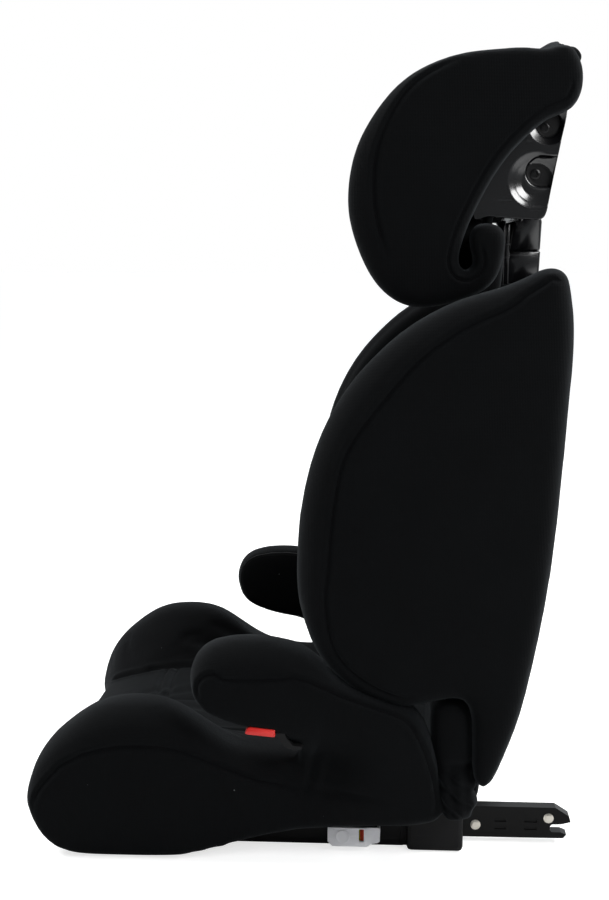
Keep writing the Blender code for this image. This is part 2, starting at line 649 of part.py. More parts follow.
def make_shell_screws():
    """Round-headed screws in the recesses hold the wing frames to the shell."""
    for name, side in SIDES.items():
        for label, (y, z) in zip(("lower", "upper"), lifted(RECESSES)):
            face = HEAD_HALF_WIDTH - HEAD_FLANGE + WALL + GAP
            head = 0.0025
            profile = [(0, head), (SCREW_RADIUS * 0.7, head), (SCREW_RADIUS, head * 0.5), (SCREW_RADIUS, 0), (0, 0)]
            mesh = turned([(r, side * x) for r, x in profile], (side * face, y, z))
            add(f"shell_screw_{label}_{name}", mesh, STEEL, HEADREST)


HEAD_WING = [(0.080, 0.565), (0.090, 0.612), (0.122, 0.656), (0.165, 0.678), (0.215, 0.684), (0.240, 0.683),
             (0.262, 0.686), (0.272, 0.662), (0.265, 0.637), (0.238, 0.623), (0.206, 0.590), (0.182, 0.545),
             (0.1725, 0.516), (0.1735, 0.506), (0.180, 0.503), (0.1855, 0.509), (0.186, 0.521), (0.191, 0.533),
             (0.199, 0.542), (0.208, 0.539), (0.211, 0.527), (0.203, 0.495), (0.178, 0.479), (0.137, 0.472),
             (0.107, 0.488), (0.087, 0.525)]


def make_head_wings():
    """Soft wing with a hooked slot for the shoulder belt, over a moulded frame with the same slot."""
    frame_in = HEAD_HALF_WIDTH + 0.0025
    inner = frame_in + HEAD_FRAME_THICKNESS + GAP
    for name, side in SIDES.items():
        line = inset(curve_through(lifted(HEAD_WING), 2), 0.0022)
        add(f"head_wing_frame_{name}", plate(line, side * frame_in, side * (frame_in + HEAD_FRAME_THICKNESS)),
            MATT, HEADREST)
        add(f"head_wing_{name}", pad(lifted(HEAD_WING), side * inner, side * (inner + HEAD_PAD_THICKNESS), 0.0025,
                                     2), FABRIC, HEADREST, 60)


def make_head_cushions():
    half = HEAD_HALF_WIDTH - HEAD_FLANGE - 0.004
    cushion = add("head_pad", on_back(-half, half, HEAD_PLATE[0] - 0.0405, HEAD_PLATE[0] - 0.0005,
                                      HEAD_BOTTOM - 0.050, HEAD_TOP - 0.018), FABRIC, HEADREST)
    bevel = cushion.modifiers.new("Bevel", "BEVEL")
    bevel.width = 0.012
    bevel.segments = 2
    roll = lifted([(0.205, 0.6885), (0.208, 0.695), (0.230, 0.698), (0.250, 0.702), (0.263, 0.708),
                   (0.273, 0.706), (0.2755, 0.697), (0.272, 0.6895)])
    build = bmesh.new()
    stations = [(-1.0, 0.35), (-0.75, 0.7), (-0.35, 0.78), (-0.12, 1.0), (0.12, 1.0), (0.35, 0.78), (0.75, 0.7),
                (1.0, 0.35)]
    floor = 0.686 + LIFT.z
    rows = []
    for share, rise in stations:
        x = share * (HEAD_HALF_WIDTH + 0.001)
        rows.append([build.verts.new((x, y, floor + (z - floor) * rise)) for y, z in roll])
    for one, other in zip(rows, rows[1:]):
        for i in range(len(roll)):
            j = (i + 1) % len(roll)
            build.faces.new((one[i], one[j], other[j], other[i]))
    build.faces.new(rows[0])
    build.faces.new(rows[-1])
    add("head_crown", finish_mesh("head_crown", build), FABRIC, HEADREST, 60)


def make_head_stalk():
    """Hollow stalk, thick where it meets the shell, thin where it slides in the channel."""
    step = HEAD_BOTTOM - 0.012
    top = HEAD_BOTTOM + 0.055
    back = HEAD_PLATE[1] + GAP
    stalk = add("head_stalk", on_back(-STALK_HALF_WIDTH, STALK_HALF_WIDTH, STALK_FRONT, STALK_REAR, STALK_BOTTOM,
                                      top), MATT, HEADREST)
    boolean(stalk, on_back(-STALK_HALF_WIDTH, STALK_HALF_WIDTH, back, STALK_REAR, step, top), "UNION")
    inside = STALK_HALF_WIDTH - WALL
    boolean(stalk, on_back(-inside, inside, STALK_FRONT + WALL, 0.1, STALK_BOTTOM - 0.1, step - 0.006))


HANDLE_TRAVEL = 0.010
LOCK_TRAVEL = 0.004


def make_height_lock():
    """Squeeze handle behind the headrest, and the bar that it draws out of the rack."""
    handle_body = empty("height_handle_body", BACK @ Vector((0, 0, HEAD_TOP - 0.030)), HEADREST)
    low = HEAD_TOP - 0.040
    handle = add("height_handle", on_back(-0.048, 0.048, HEAD_PLATE[1] + 0.001, 0.007, low, low + 0.024), MATT,
                 handle_body)
    bevel = handle.modifiers.new("Bevel", "BEVEL")
    bevel.width = 0.004
    bevel.segments = 2
    bar_body = empty("lock_bar_body", BACK @ Vector((0, 0, LOCK_U)), HEADREST)
    nose = RACK[0] - GAP
    bar = add("lock_bar", on_back(-0.033, 0.033, STALK_FRONT + WALL + CLEARANCE, 0.0035,
                                  LOCK_U - 0.004, LOCK_U + 0.004), STEEL, bar_body)
    boolean(bar, on_back(-0.0095, 0.0095, 0.003, nose, LOCK_U - 0.0022, LOCK_U + 0.0022), "UNION")


make_base_shell()
make_bottom_tray()
make_seat_cover()
make_armrests()
make_belt_guides()
make_anchor_housings()
make_guide_channels()
make_indicator_strips()
make_hinge_sleeves()
make_recline_hinge()
make_anchor_arms()
make_release_sliders()
make_back_shell()
make_guide_channel()
make_height_rack()
make_back_padding()
make_side_wings()
make_head_shell()
make_shell_screws()
make_head_wings()
make_head_cushions()
make_head_stalk()
make_height_lock()
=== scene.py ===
"""The looks of a high-back booster seat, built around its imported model. Metres, +Z up, front towards -Y."""

import math

import bmesh
import bpy
import numpy as np
from mathutils import Matrix, Vector
from mathutils.bvhtree import BVHTree
from mathutils.kdtree import KDTree


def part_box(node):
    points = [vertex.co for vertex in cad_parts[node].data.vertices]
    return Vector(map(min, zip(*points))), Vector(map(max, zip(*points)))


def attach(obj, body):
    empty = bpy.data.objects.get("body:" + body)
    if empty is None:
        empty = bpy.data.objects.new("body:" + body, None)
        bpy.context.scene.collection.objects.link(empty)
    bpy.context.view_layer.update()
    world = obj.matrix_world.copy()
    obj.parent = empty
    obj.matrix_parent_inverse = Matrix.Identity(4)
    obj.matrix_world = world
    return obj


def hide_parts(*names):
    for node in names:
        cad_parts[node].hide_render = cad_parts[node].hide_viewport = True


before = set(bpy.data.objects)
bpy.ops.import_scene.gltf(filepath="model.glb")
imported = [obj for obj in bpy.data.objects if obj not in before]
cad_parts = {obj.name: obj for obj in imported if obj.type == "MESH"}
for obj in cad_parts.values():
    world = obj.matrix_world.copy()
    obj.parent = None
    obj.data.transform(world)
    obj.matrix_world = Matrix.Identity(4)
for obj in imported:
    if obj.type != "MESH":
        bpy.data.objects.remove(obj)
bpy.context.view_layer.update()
scene = bpy.context.scene

# ------------------------------------------------------------------ camera, light and floor
# A 58 mm lens looks at the seat's left side from a little above. The surroundings are white and brighter
# on the far side, with soft lamps above the front and the rear, and one behind for the polished shell.

scene.view_settings.view_transform = "Standard"

pitch = math.radians(7.931)
yaw = math.radians(3.537)
forward = Vector((-math.cos(pitch) * math.cos(yaw), -math.cos(pitch) * math.sin(yaw), -math.sin(pitch)))
rightward = Vector((-math.sin(yaw), math.cos(yaw), 0))
upward = rightward.cross(forward)
lens = bpy.data.cameras.new("camera")
lens.lens = 58
lens.sensor_width = 36
camera = bpy.data.objects.new("camera", lens)
scene.collection.objects.link(camera)
camera.matrix_world = Matrix.Translation((1.37878, 0.11965, 0.52143)) @ Matrix(
    (rightward, upward, -forward)).transposed().to_4x4()
scene.camera = camera


def node(tree, kind, **settings):
    made = tree.nodes.new(kind)
    for name, value in settings.items():
        setattr(made, name, value)
    return made


def feed(tree, socket, value):
    """Links a socket to another, or sets it to a plain value."""
    if isinstance(value, bpy.types.NodeSocket):
        tree.links.new(value, socket)
    elif value is not None:
        socket.default_value = value


surroundings = bpy.data.worlds.new("surroundings")
scene.world = surroundings
surroundings.use_nodes = True
tree = surroundings.node_tree
tree.nodes.clear()
seen = node(tree, "ShaderNodeBackground")
seen.inputs["Strength"].default_value = 1.0
seen.inputs["Color"].default_value = (1, 1, 1, 1)
around = node(tree, "ShaderNodeBackground")
around.inputs["Color"].default_value = (0.93, 0.97, 1.0, 1)
side = node(tree, "ShaderNodeSeparateXYZ")
tree.links.new(node(tree, "ShaderNodeTexCoord").outputs["Generated"], side.inputs[0])
fade = node(tree, "ShaderNodeMapRange", interpolation_type="SMOOTHSTEP")
for label, value in {"From Min": -0.7, "From Max": 0.5, "To Min": 0.80, "To Max": 0.17}.items():
    fade.inputs[label].default_value = value
tree.links.new(side.outputs[0], fade.inputs["Value"])
tree.links.new(fade.outputs["Result"], around.inputs["Strength"])
path = node(tree, "ShaderNodeLightPath")
either = node(tree, "ShaderNodeMixShader")
tree.links.new(path.outputs["Is Camera Ray"], either.inputs[0])
tree.links.new(around.outputs[0], either.inputs[1])
tree.links.new(seen.outputs[0], either.inputs[2])
tree.links.new(either.outputs[0], node(tree, "ShaderNodeOutputWorld").inputs[0])


def softbox(name, place, aim, width, power):
    lamp = bpy.data.lights.new(name, "AREA")
    lamp.shape = "SQUARE"
    lamp.size = width
    lamp.energy = power
    made = bpy.data.objects.new(name, lamp)
    scene.collection.objects.link(made)
    made.location = place
    made.rotation_euler = (Vector(aim) - Vector(place)).to_track_quat("-Z", "Y").to_euler()


softbox("front_lamp", (-0.2, -1.6, 1.9), (0, 0, 0.35), 1.2, 60)
softbox("rear_lamp", (-0.1, 1.9, 1.8), (0, 0.2, 0.4), 1.0, 58)
softbox("shell_lamp", (1.50, 1.65, 1.60), (0.12, 0.24, 0.6), 0.95, 42)

bpy.ops.mesh.primitive_plane_add(size=60, location=(0, 0, -0.0005))
floor = bpy.context.object
floor.name = "floor"
paint = bpy.data.materials.new("pale_floor")
paint.use_nodes = True
tree = paint.node_tree
shader = tree.nodes["Principled BSDF"]
shader.inputs["Base Color"].default_value = (0.60, 0.60, 0.60, 1)
shader.inputs["Roughness"].default_value = 0.9
shader.inputs["Emission Color"].default_value = (1, 1, 1, 1)
glow = node(tree, "ShaderNodeMath", operation="MULTIPLY")
glow.inputs[1].default_value = 0.72
tree.links.new(node(tree, "ShaderNodeLightPath").outputs["Is Camera Ray"], glow.inputs[0])
tree.links.new(glow.outputs[0], shader.inputs["Emission Strength"])
floor.data.materials.append(paint)

# ------------------------------------------------------------------ black cover fabric
# Every cover is one stretch knit: fine wales with small V stitches, brushed a little, near black and cool.
# It picks up lint. Each seam's valley holds a near-black tube without sheen, which is painted seam shade.


def effect(name, inputs, outputs):
    """A shader node group with named number inputs and named number outputs."""
    made = bpy.data.node_groups.new(name, "ShaderNodeTree")
    for label, value in inputs.items():
        made.interface.new_socket(label, in_out="INPUT", socket_type="NodeSocketFloat").default_value = value
    for label in outputs:
        made.interface.new_socket(label, in_out="OUTPUT", socket_type="NodeSocketFloat")
    return made, node(made, "NodeGroupInput"), node(made, "NodeGroupOutput")


def sum_of(tree, operation, *values):
    """The output of one Math node."""
    made = node(tree, "ShaderNodeMath", operation=operation)
    for socket, value in zip(made.inputs, values):
        feed(tree, socket, value)
    return made.outputs[0]


def stitch_height(tree, across, along, wale, course):
    """Height of one knitted face: a triangle wave across the wales, broken into V stitches along them."""
    share = sum_of(tree, "FRACT", sum_of(tree, "DIVIDE", across, wale))
    leg = sum_of(tree, "MULTIPLY", sum_of(tree, "ABSOLUTE", sum_of(tree, "SUBTRACT", share, 0.5)), 2.0)
    row = sum_of(tree, "DIVIDE", along, course)
    turn = sum_of(tree, "MULTIPLY", sum_of(tree, "MULTIPLY_ADD", leg, 0.45, row), 2 * math.pi)
    loop = sum_of(tree, "MULTIPLY_ADD", sum_of(tree, "SINE", turn), 0.25, 0.25)
    return sum_of(tree, "SUBTRACT", sum_of(tree, "ADD", loop, 0.5), sum_of(tree, "MULTIPLY", leg, 0.5))


knit, given, result = effect("knit", {"Wale": 0.0013, "Course": 0.0011}, ("Height", "Melange"))
place = node(knit, "ShaderNodeTexCoord")
point = node(knit, "ShaderNodeSeparateXYZ")
facing = node(knit, "ShaderNodeSeparateXYZ")
knit.links.new(place.outputs["Object"], point.inputs[0])
knit.links.new(place.outputs["Normal"], facing.inputs[0])
total = 0.0001
shares = []
for axis, (across, along) in enumerate(((1, 2), (0, 2), (0, 1))):
    weight = sum_of(knit, "POWER", sum_of(knit, "ABSOLUTE", facing.outputs[axis]), 4.0)
    face = stitch_height(knit, point.outputs[across], point.outputs[along], given.outputs["Wale"],
                         given.outputs["Course"])
    shares.append(sum_of(knit, "MULTIPLY", weight, face))
    total = sum_of(knit, "ADD", weight, total)
whole = sum_of(knit, "ADD", sum_of(knit, "ADD", shares[0], shares[1]), shares[2])
feed(knit, result.inputs["Height"], sum_of(knit, "DIVIDE", whole, total))
fibre = node(knit, "ShaderNodeTexNoise")
fibre.inputs["Scale"].default_value = 900
fibre.inputs["Detail"].default_value = 3
knit.links.new(place.outputs["Object"], fibre.inputs["Vector"])
patch = node(knit, "ShaderNodeTexNoise")
patch.inputs["Scale"].default_value = 22
patch.inputs["Detail"].default_value = 4
knit.links.new(place.outputs["Object"], patch.inputs["Vector"])
feed(knit, result.inputs["Melange"], sum_of(knit, "MULTIPLY_ADD", patch.outputs["Fac"], 0.6,
                                             sum_of(knit, "MULTIPLY", fibre.outputs["Fac"], 0.4)))

lint, given, result = effect("lint", {"Amount": 0.05, "Spacing": 0.012}, ("Mask",))
place = node(lint, "ShaderNodeTexCoord")
cells = node(lint, "ShaderNodeTexVoronoi")
lint.links.new(place.outputs["Object"], cells.inputs["Vector"])
feed(lint, cells.inputs["Scale"], sum_of(lint, "DIVIDE", 1.0, given.outputs["Spacing"]))
pick = node(lint, "ShaderNodeSeparateColor")
lint.links.new(cells.outputs["Color"], pick.inputs[0])
chosen = sum_of(lint, "LESS_THAN", pick.outputs[0], given.outputs["Amount"])
speck = sum_of(lint, "LESS_THAN", cells.outputs["Distance"], sum_of(lint, "MULTIPLY", pick.outputs[1], 0.05))
feed(lint, result.inputs["Mask"], sum_of(lint, "MULTIPLY", chosen, speck))


def use(tree, group, **values):
    made = node(tree, "ShaderNodeGroup", node_tree=group)
    for label, value in values.items():
        feed(tree, made.inputs[label], value)
    return made


def blend_colours(tree, factor, first, second):
    made = node(tree, "ShaderNodeMix", data_type="RGBA")
    for socket, value in zip((made.inputs[0], made.inputs[6], made.inputs[7]), (factor, first, second)):
        feed(tree, socket, value)
    return made.outputs[2]


def bumped(tree, height, distance, strength=1.0):
    made = node(tree, "ShaderNodeBump")
    feed(tree, made.inputs["Height"], height)
    made.inputs["Distance"].default_value = distance
    made.inputs["Strength"].default_value = strength
    return made.outputs[0]


def finish(name, **constants):
    """A Principled material with its constant sockets set. Returns it, its node tree and the shader."""
    made = bpy.data.materials.new(name)
    made.use_nodes = True
    shader = made.node_tree.nodes["Principled BSDF"]
    for label, value in constants.items():
        shader.inputs[label.replace("_", " ")].default_value = value
    return made, made.node_tree, shader


WALE = 0.0013
LINT_GREY = (0.16, 0.17, 0.17, 1)


def cover_fabric(name, dark, light, lint_amount, sheen):
    made, tree, shader = finish(name, Sheen_Weight=sheen, Sheen_Roughness=0.42, Specular_IOR_Level=0.06,
                                Sheen_Tint=(0.84, 0.93, 1.0, 1))
    cloth = use(tree, knit, Wale=WALE, Course=WALE * 0.85)
    fluff = use(tree, lint, Amount=lint_amount)
    # The colour mixes a random melange with painted shade, which makes each stitch darker in its low parts.
    shade = sum_of(tree, "MULTIPLY", cloth.outputs["Melange"],
                   sum_of(tree, "MULTIPLY_ADD", cloth.outputs["Height"], 0.9, 0.45))
    tone = blend_colours(tree, shade, dark, light)
    feed(tree, shader.inputs["Base Color"], blend_colours(tree, fluff.outputs["Mask"], tone, LINT_GREY))
    feed(tree, shader.inputs["Roughness"], sum_of(tree, "MULTIPLY_ADD", cloth.outputs["Melange"], 0.2, 0.75))
    feed(tree, shader.inputs["Normal"], bumped(tree, cloth.outputs["Height"], WALE * 0.35, 0.6))
    return made


BLACK_KNIT = cover_fabric("black_knit", (0.0003, 0.0004, 0.0006, 1), (0.0040, 0.0045, 0.0050, 1),
                          lint_amount=0.12, sheen=0.050)
SOFT_KNIT = cover_fabric("lighter_knit", (0.0026, 0.0034, 0.0034, 1), (0.012, 0.0145, 0.0142, 1),
                         lint_amount=0.02, sheen=0.10)
# Painted seam shade: near black with no sheen, for the tubes laid in the seams' valleys.
SEAM_SHADE, tree, shader = finish("painted_seam_shade", Specular_IOR_Level=0.06, Roughness=0.9)
tube_speckle = node(tree, "ShaderNodeTexNoise")
tube_speckle.inputs["Scale"].default_value = 1500
feed(tree, shader.inputs["Base Color"], blend_colours(tree, tube_speckle.outputs["Fac"], (0.001, 0.001, 0.001, 1),
                                                      (0.004, 0.004, 0.005, 1)))

# ------------------------------------------------------------------ seat cover and armrests
# A padded cover over the base: a front roll, two thigh bolsters, a lighter middle panel between them and
# side panels that run up over the armrest horns. It is sewn with plain seams over foam and wadding.


def smooth_loop(points, steps):
    """A closed Catmull-Rom line through the points, each of which may hold any number of values."""
    knots = np.array(points, float)
    line = []
    for i in range(len(knots)):
        a, b, c, d = (knots[(i + k) % len(knots)] for k in (-1, 0, 1, 2))
        for t in np.arange(steps) / steps:
            line.append(0.5 * (2 * b + (c - a) * t + (2 * a - 5 * b + 4 * c - d) * t ** 2
                               + (3 * b - a - 3 * c + d) * t ** 3))
    return np.array(line)


def inward(line):
    """Unit normals of a closed (y, z) line, pointing to its inside."""
    along = np.roll(line, -1, 0) - np.roll(line, 1, 0)
    along /= np.linalg.norm(along, axis=1)[:, None]
    area = np.sum(line[:, 0] * np.roll(line[:, 1], -1) - np.roll(line[:, 0], -1) * line[:, 1])
    return np.stack((-along[:, 1], along[:, 0]), 1) * (1 if area > 0 else -1)


def object_of(name, build, smooth=True):
    """The bmesh as a new object with outward faces."""
    bmesh.ops.recalc_face_normals(build, faces=build.faces)
    mesh = bpy.data.meshes.new(name)
    build.to_mesh(mesh)
    build.free()
    if smooth:
        mesh.shade_smooth()
    made = bpy.data.objects.new(name, mesh)
    scene.collection.objects.link(made)
    return made


def walls(build, rows):
    """Joins each closed row of vertices to the next with quads."""
    for one, other in zip(rows, rows[1:]):
        for i in range(len(one)):
            j = (i + 1) % len(one)
            build.faces.new((one[i], one[j], other[j], other[i]))


def lofted(name, rings):
    """A closed form through rings of equally many points, with its two ends filled."""
    build = bmesh.new()
    rows = [[build.verts.new(p) for p in ring] for ring in rings]
    walls(build, rows)
    build.faces.new(rows[0])
    build.faces.new(rows[-1])
    return object_of(name, build)


LINE_STEPS = 5
ROLL_RINGS = 15


def rolled_panel(name, outline, inner, ridge, outer, inner_roll):
    """A padded panel from its side view. Each outline point is (y, z, roll): the edge rounds over by that
    much between the ridge and the seam on the outer face. Returns the object, the seam and the ridge."""
    line = smooth_loop(outline, LINE_STEPS)
    normals = inward(line[:, :2])
    rings = []
    for turn in np.linspace(-math.pi / 2, math.pi / 2, ROLL_RINGS):
        reach = (ridge - inner) if turn < 0 else (outer - ridge)
        roll = np.full(len(line), inner_roll) if turn < 0 else line[:, 2]
        flat = line[:, :2] + normals * (roll * (1 - math.cos(turn)))[:, None]
        x = ridge + reach * math.sin(turn)
        rings.append([(x, y, z) for y, z in flat])
    return lofted(name, rings), [Vector(p) for p in rings[-1]], [Vector(p) for p in rings[ROLL_RINGS // 2]]


def settled(obj):
    """Replaces the object's mesh with its evaluated one and drops the modifiers."""
    graph = bpy.context.evaluated_depsgraph_get()
    graph.update()
    mesh = bpy.data.meshes.new_from_object(obj.evaluated_get(graph))
    obj.modifiers.clear()
    old = obj.data
    obj.data = mesh
    bpy.data.meshes.remove(old)
    return obj


def points_of(mesh):
    found = np.empty(len(mesh.vertices) * 3, np.float32)
    mesh.vertices.foreach_get("co", found)
    return found.reshape(-1, 3).astype(float)


def put_points(mesh, found):
    mesh.vertices.foreach_set("co", found.astype(np.float32).ravel())
    mesh.update()


def normals_of(mesh):
    found = np.empty(len(mesh.vertices) * 3, np.float32)
    mesh.vertices.foreach_get("normal", found)
    return found.reshape(-1, 3).astype(float)


def close_to(points, line, reach):
    """Which of the points lie within reach of the line."""
    tree = KDTree(len(line))
    for i, p in enumerate(line):
        tree.insert(p, i)
    tree.balance()
    return np.array([tree.find(p)[2] < reach for p in points])


CLOTH_FRAMES = 20


def stuffed(obj, held, swell, voxel=0.0045, lines=(), fill=0.0027):
    """An even remesh, then a cloth simulation with air pressure: the cover swells by up to `swell`, except
    where held(points) is true and along the lines, which the foam and the seams hold. The padding lifts all
    that isn't held by `fill` first, and one subdivision follows."""
    remesh = obj.modifiers.new("Remesh", "REMESH")
    remesh.mode = "VOXEL"
    remesh.voxel_size = voxel
    smooth = obj.modifiers.new("Smooth", "SMOOTH")
    smooth.factor = 0.5
    smooth.iterations = 6
    settled(obj)
    before = points_of(obj.data)
    fixed = held(before)
    before = before + normals_of(obj.data) * (fill * ~fixed)[:, None]
    put_points(obj.data, before)
    for line in lines:
        fixed |= close_to(before, spaced(line, 0.002, closed=True), 0.0045)
    after = before
    group = obj.vertex_groups.new(name="held")
    group.add([int(i) for i in np.nonzero(fixed)[0]], 1.0, "REPLACE")
    cloth = obj.modifiers.new("Cloth", "CLOTH")
    cloth.settings.vertex_group_mass = "held"
    cloth.settings.use_pressure = True
    cloth.settings.uniform_pressure_force = 4.0
    cloth.settings.effector_weights.gravity = 0
    cloth.settings.quality = 4
    cloth.point_cache.frame_start = 1
    cloth.point_cache.frame_end = CLOTH_FRAMES
    for step in range(1, CLOTH_FRAMES + 1):
        scene.frame_set(step)
    graph = bpy.context.evaluated_depsgraph_get()
    swollen = obj.evaluated_get(graph).to_mesh()
    after = points_of(swollen)
    obj.evaluated_get(graph).to_mesh_clear()
    obj.modifiers.clear()
    obj.vertex_groups.clear()
    scene.frame_set(1)
    shift = after - before
    length = np.linalg.norm(shift, axis=1)
    shift *= np.minimum(1.0, swell / np.maximum(length, 1e-9))[:, None]
    put_points(obj.data, before + shift)
    obj.modifiers.new("Smooth", "SMOOTH").iterations = 2
    fine = obj.modifiers.new("Subdivision", "SUBSURF")
    fine.levels = 1
    settled(obj)
    obj.data.shade_smooth()
    return obj


def spaced(line, step, closed=False):
    """The polyline with a point every `step` metres."""
    knots = np.array([tuple(p) for p in line], float)
    if closed:
        knots = np.vstack((knots, knots[:1]))
    lengths = np.linalg.norm(np.diff(knots, axis=0), axis=1)
    along = np.concatenate(([0], np.cumsum(lengths)))
    count = max(2, int(along[-1] / step))
    marks = np.linspace(0, along[-1], count)
    return [Vector([np.interp(m, along, knots[:, k]) for k in range(3)]) for m in marks]


def sewn(obj, line, depth=0.0018, width=0.0022, step=0.0012, finer=2, fade=0.0):
    """Pulls the cover in along the line. Returns the line at the bottom of the valley, with its normals."""
    build = bmesh.new()
    build.from_mesh(obj.data)
    surface = BVHTree.FromBMesh(build)
    laid = [surface.find_nearest(p)[0] for p in spaced(line, step)]
    near = KDTree(len(laid))
    for i, p in enumerate(laid):
        near.insert(p, i)
    near.balance()
    for _ in range(finer):
        faces = [f for f in build.faces if near.find(f.calc_center_median())[2] < width * 2.6]
        edges = {e for f in faces for e in f.edges}
        bmesh.ops.subdivide_edges(build, edges=list(edges), cuts=1, use_grid_fill=True)
    build.normal_update()
    surface = BVHTree.FromBMesh(build)
    sides = [surface.find_nearest(p)[1] for p in laid]
    for vert in build.verts:
        _, index, distance = near.find(vert.co)
        if distance < width * 4:
            share = 1.0
            if fade:
                ramp = len(laid) * fade
                share = min(1.0, index / ramp, (len(laid) - 1 - index) / ramp)
            away = distance / width
            pull = math.exp(-away ** 2) - 0.22 * math.exp(-((away - 2.2) / 0.9) ** 2)
            vert.co -= sides[index] * depth * pull * share
    build.to_mesh(obj.data)
    build.free()
    obj.data.shade_smooth()
    return [(p - n * depth, n) for p, n in zip(laid, sides)]


def shade_tube_along(name, valley, radius, sides=6):
    """A near-black tube of painted seam shade along the bottom of a seam's valley, running thin at both ends.
    """
    line = [p for p, _ in valley]
    build = bmesh.new()
    rows = []
    normal = Vector((0.3, 0.5, 0.8))
    last = len(line) - 1
    for i, p in enumerate(line):
        along = (line[min(i + 1, last)] - line[max(i - 1, 0)]).normalized()
        normal = (normal - along * normal.dot(along)).normalized()
        other = along.cross(normal)
        size = radius * min(1.0, 0.15 + 0.25 * min(i, last - i))
        rows.append([build.verts.new(p + (normal * math.cos(a) + other * math.sin(a)) * size)
                     for a in np.linspace(0, 2 * math.pi, sides, endpoint=False)])
    walls(build, rows)
    build.faces.new(rows[0])
    build.faces.new(rows[-1])
    return object_of(name, build)


def mirrored(obj, name):
    """A copy on the other side of X = 0."""
    mesh = obj.data.copy()
    mesh.transform(Matrix.Diagonal((-1, 1, 1, 1)))
    mesh.flip_normals()
    made = bpy.data.objects.new(name, mesh)
    scene.collection.objects.link(made)
    return made


def joined(name, objects):
    """Several objects as one mesh."""
    build = bmesh.new()
    for obj in objects:
        build.from_mesh(obj.data)
    mesh = bpy.data.meshes.new(name)
    build.to_mesh(mesh)
    build.free()
    mesh.shade_smooth()
    for obj in objects:
        bpy.data.objects.remove(obj)
    made = bpy.data.objects.new(name, mesh)
    scene.collection.objects.link(made)
    return made


def placed(obj, body, slot, *materials):
    """Gives a finished piece its materials and body; the slot is not used."""
    obj.data.materials.clear()
    for material in materials:
        obj.data.materials.append(material)
    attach(obj, body)
    return obj


SHADE_TUBE_RADIUS = 0.0005


def seam_shade_pair(name, valley, body, radius=SHADE_TUBE_RADIUS):
    """The painted seam shade of one seam, a dark tube in its valley, on both sides of the seat."""
    seam = shade_tube_along(f"{name}_left", valley, radius)
    for piece in (seam, mirrored(seam, f"{name}_right")):
        placed(piece, body, "black_fabric", SEAM_SHADE)


def bell(values, middle, width):
    return np.exp(-((values - middle) / width) ** 2)


def ease(values):
    """0 below 0, 1 above 1, and smooth between."""
    clipped = np.clip(values, 0.0, 1.0)
    return clipped * clipped * (3 - 2 * clipped)


shell_low, shell_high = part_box("base_shell")
FRONT_MIDDLE = -0.1845
COVER_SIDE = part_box("seat_cover")[1].x - 0.002
BOLSTER_FOOT, BOLSTER_RUN = 0.098, 0.062
SHOULDER = 0.172

# Stations from front to rear in side view: Y, then the heights of the bolster's ridge, of the flat middle,
# of the seam on the outer face and of the underside.
RIDGE_Y = [-0.1960, -0.190, -0.182, -0.170, -0.150, -0.134, -0.116, -0.098, -0.081, -0.065, -0.047, -0.025,
           0.0, 0.040, 0.100, 0.160]
RIDGE_Z = [0.0560, 0.0760, 0.0900, 0.1040, 0.1200, 0.1290, 0.1335, 0.1345, 0.1325, 0.1270, 0.1150, 0.1000,
           0.0915, 0.0890, 0.0890, 0.0880]
MIDDLE_Z = [0.0560, 0.0635, 0.0665, 0.0695, 0.0740, 0.0760, 0.0775, 0.0780, 0.0780, 0.0780, 0.0780, 0.0775,
            0.0770, 0.0770, 0.0770, 0.0770]
SEAM_Z = [0.0500, 0.0600, 0.0700, 0.0830, 0.0935, 0.0980, 0.1010, 0.1015, 0.1010, 0.0980, 0.0915, 0.0835,
          0.0740, 0.0680, 0.0640, 0.0600]
UNDER_Z = [0.0440, 0.0280, 0.0160, 0.0070, 0.0012, 0.0003, 0.0003, 0.0003, 0.0008, 0.0020, 0.0060, 0.0120,
           0.0180, 0.0265, 0.0315, 0.0360]


def cover_ring(x):
    """One closed side-view ring of the base cover at x."""
    rise = float(ease((x - BOLSTER_FOOT) / BOLSTER_RUN))
    fall = max(0.0, (x - SHOULDER) / (COVER_SIDE - SHOULDER))
    roll = 1 - math.sqrt(max(0.0, 1 - fall ** 2))
    middle, ridge, seam = np.array(MIDDLE_Z), np.array(RIDGE_Z), np.array(SEAM_Z)
    top = middle + (ridge - middle) * rise
    top = top + (seam - top) * roll
    front_shift = (FRONT_MIDDLE - RIDGE_Y[0]) * (1 - rise) + 0.0065 * roll
    y = np.array(RIDGE_Y) + front_shift * (1 - ease((np.array(RIDGE_Y) + 0.196) / 0.12))
    under = np.array(UNDER_Z) + (0.0004 + 0.0050 * ease((np.array(RIDGE_Y) + 0.03) / 0.06)) * roll
    upper = [(x, a, b) for a, b in zip(y, top)]
    lower = [(x, a, b) for a, b in zip(y, under)]
    return upper + lower[::-1]


rings = []
for x in [0.0, 0.03, 0.06, 0.085, 0.10, 0.112, 0.124, 0.136, 0.148, 0.158, 0.166, 0.173, 0.180, 0.187, 0.193,
          0.198, 0.2012, COVER_SIDE]:
    ring = np.array(cover_ring(x))
    rings.append([(x, y, z) for y, z in smooth_loop(ring[:, 1:], 2)])
base_form = lofted("seat_cover_form", rings)

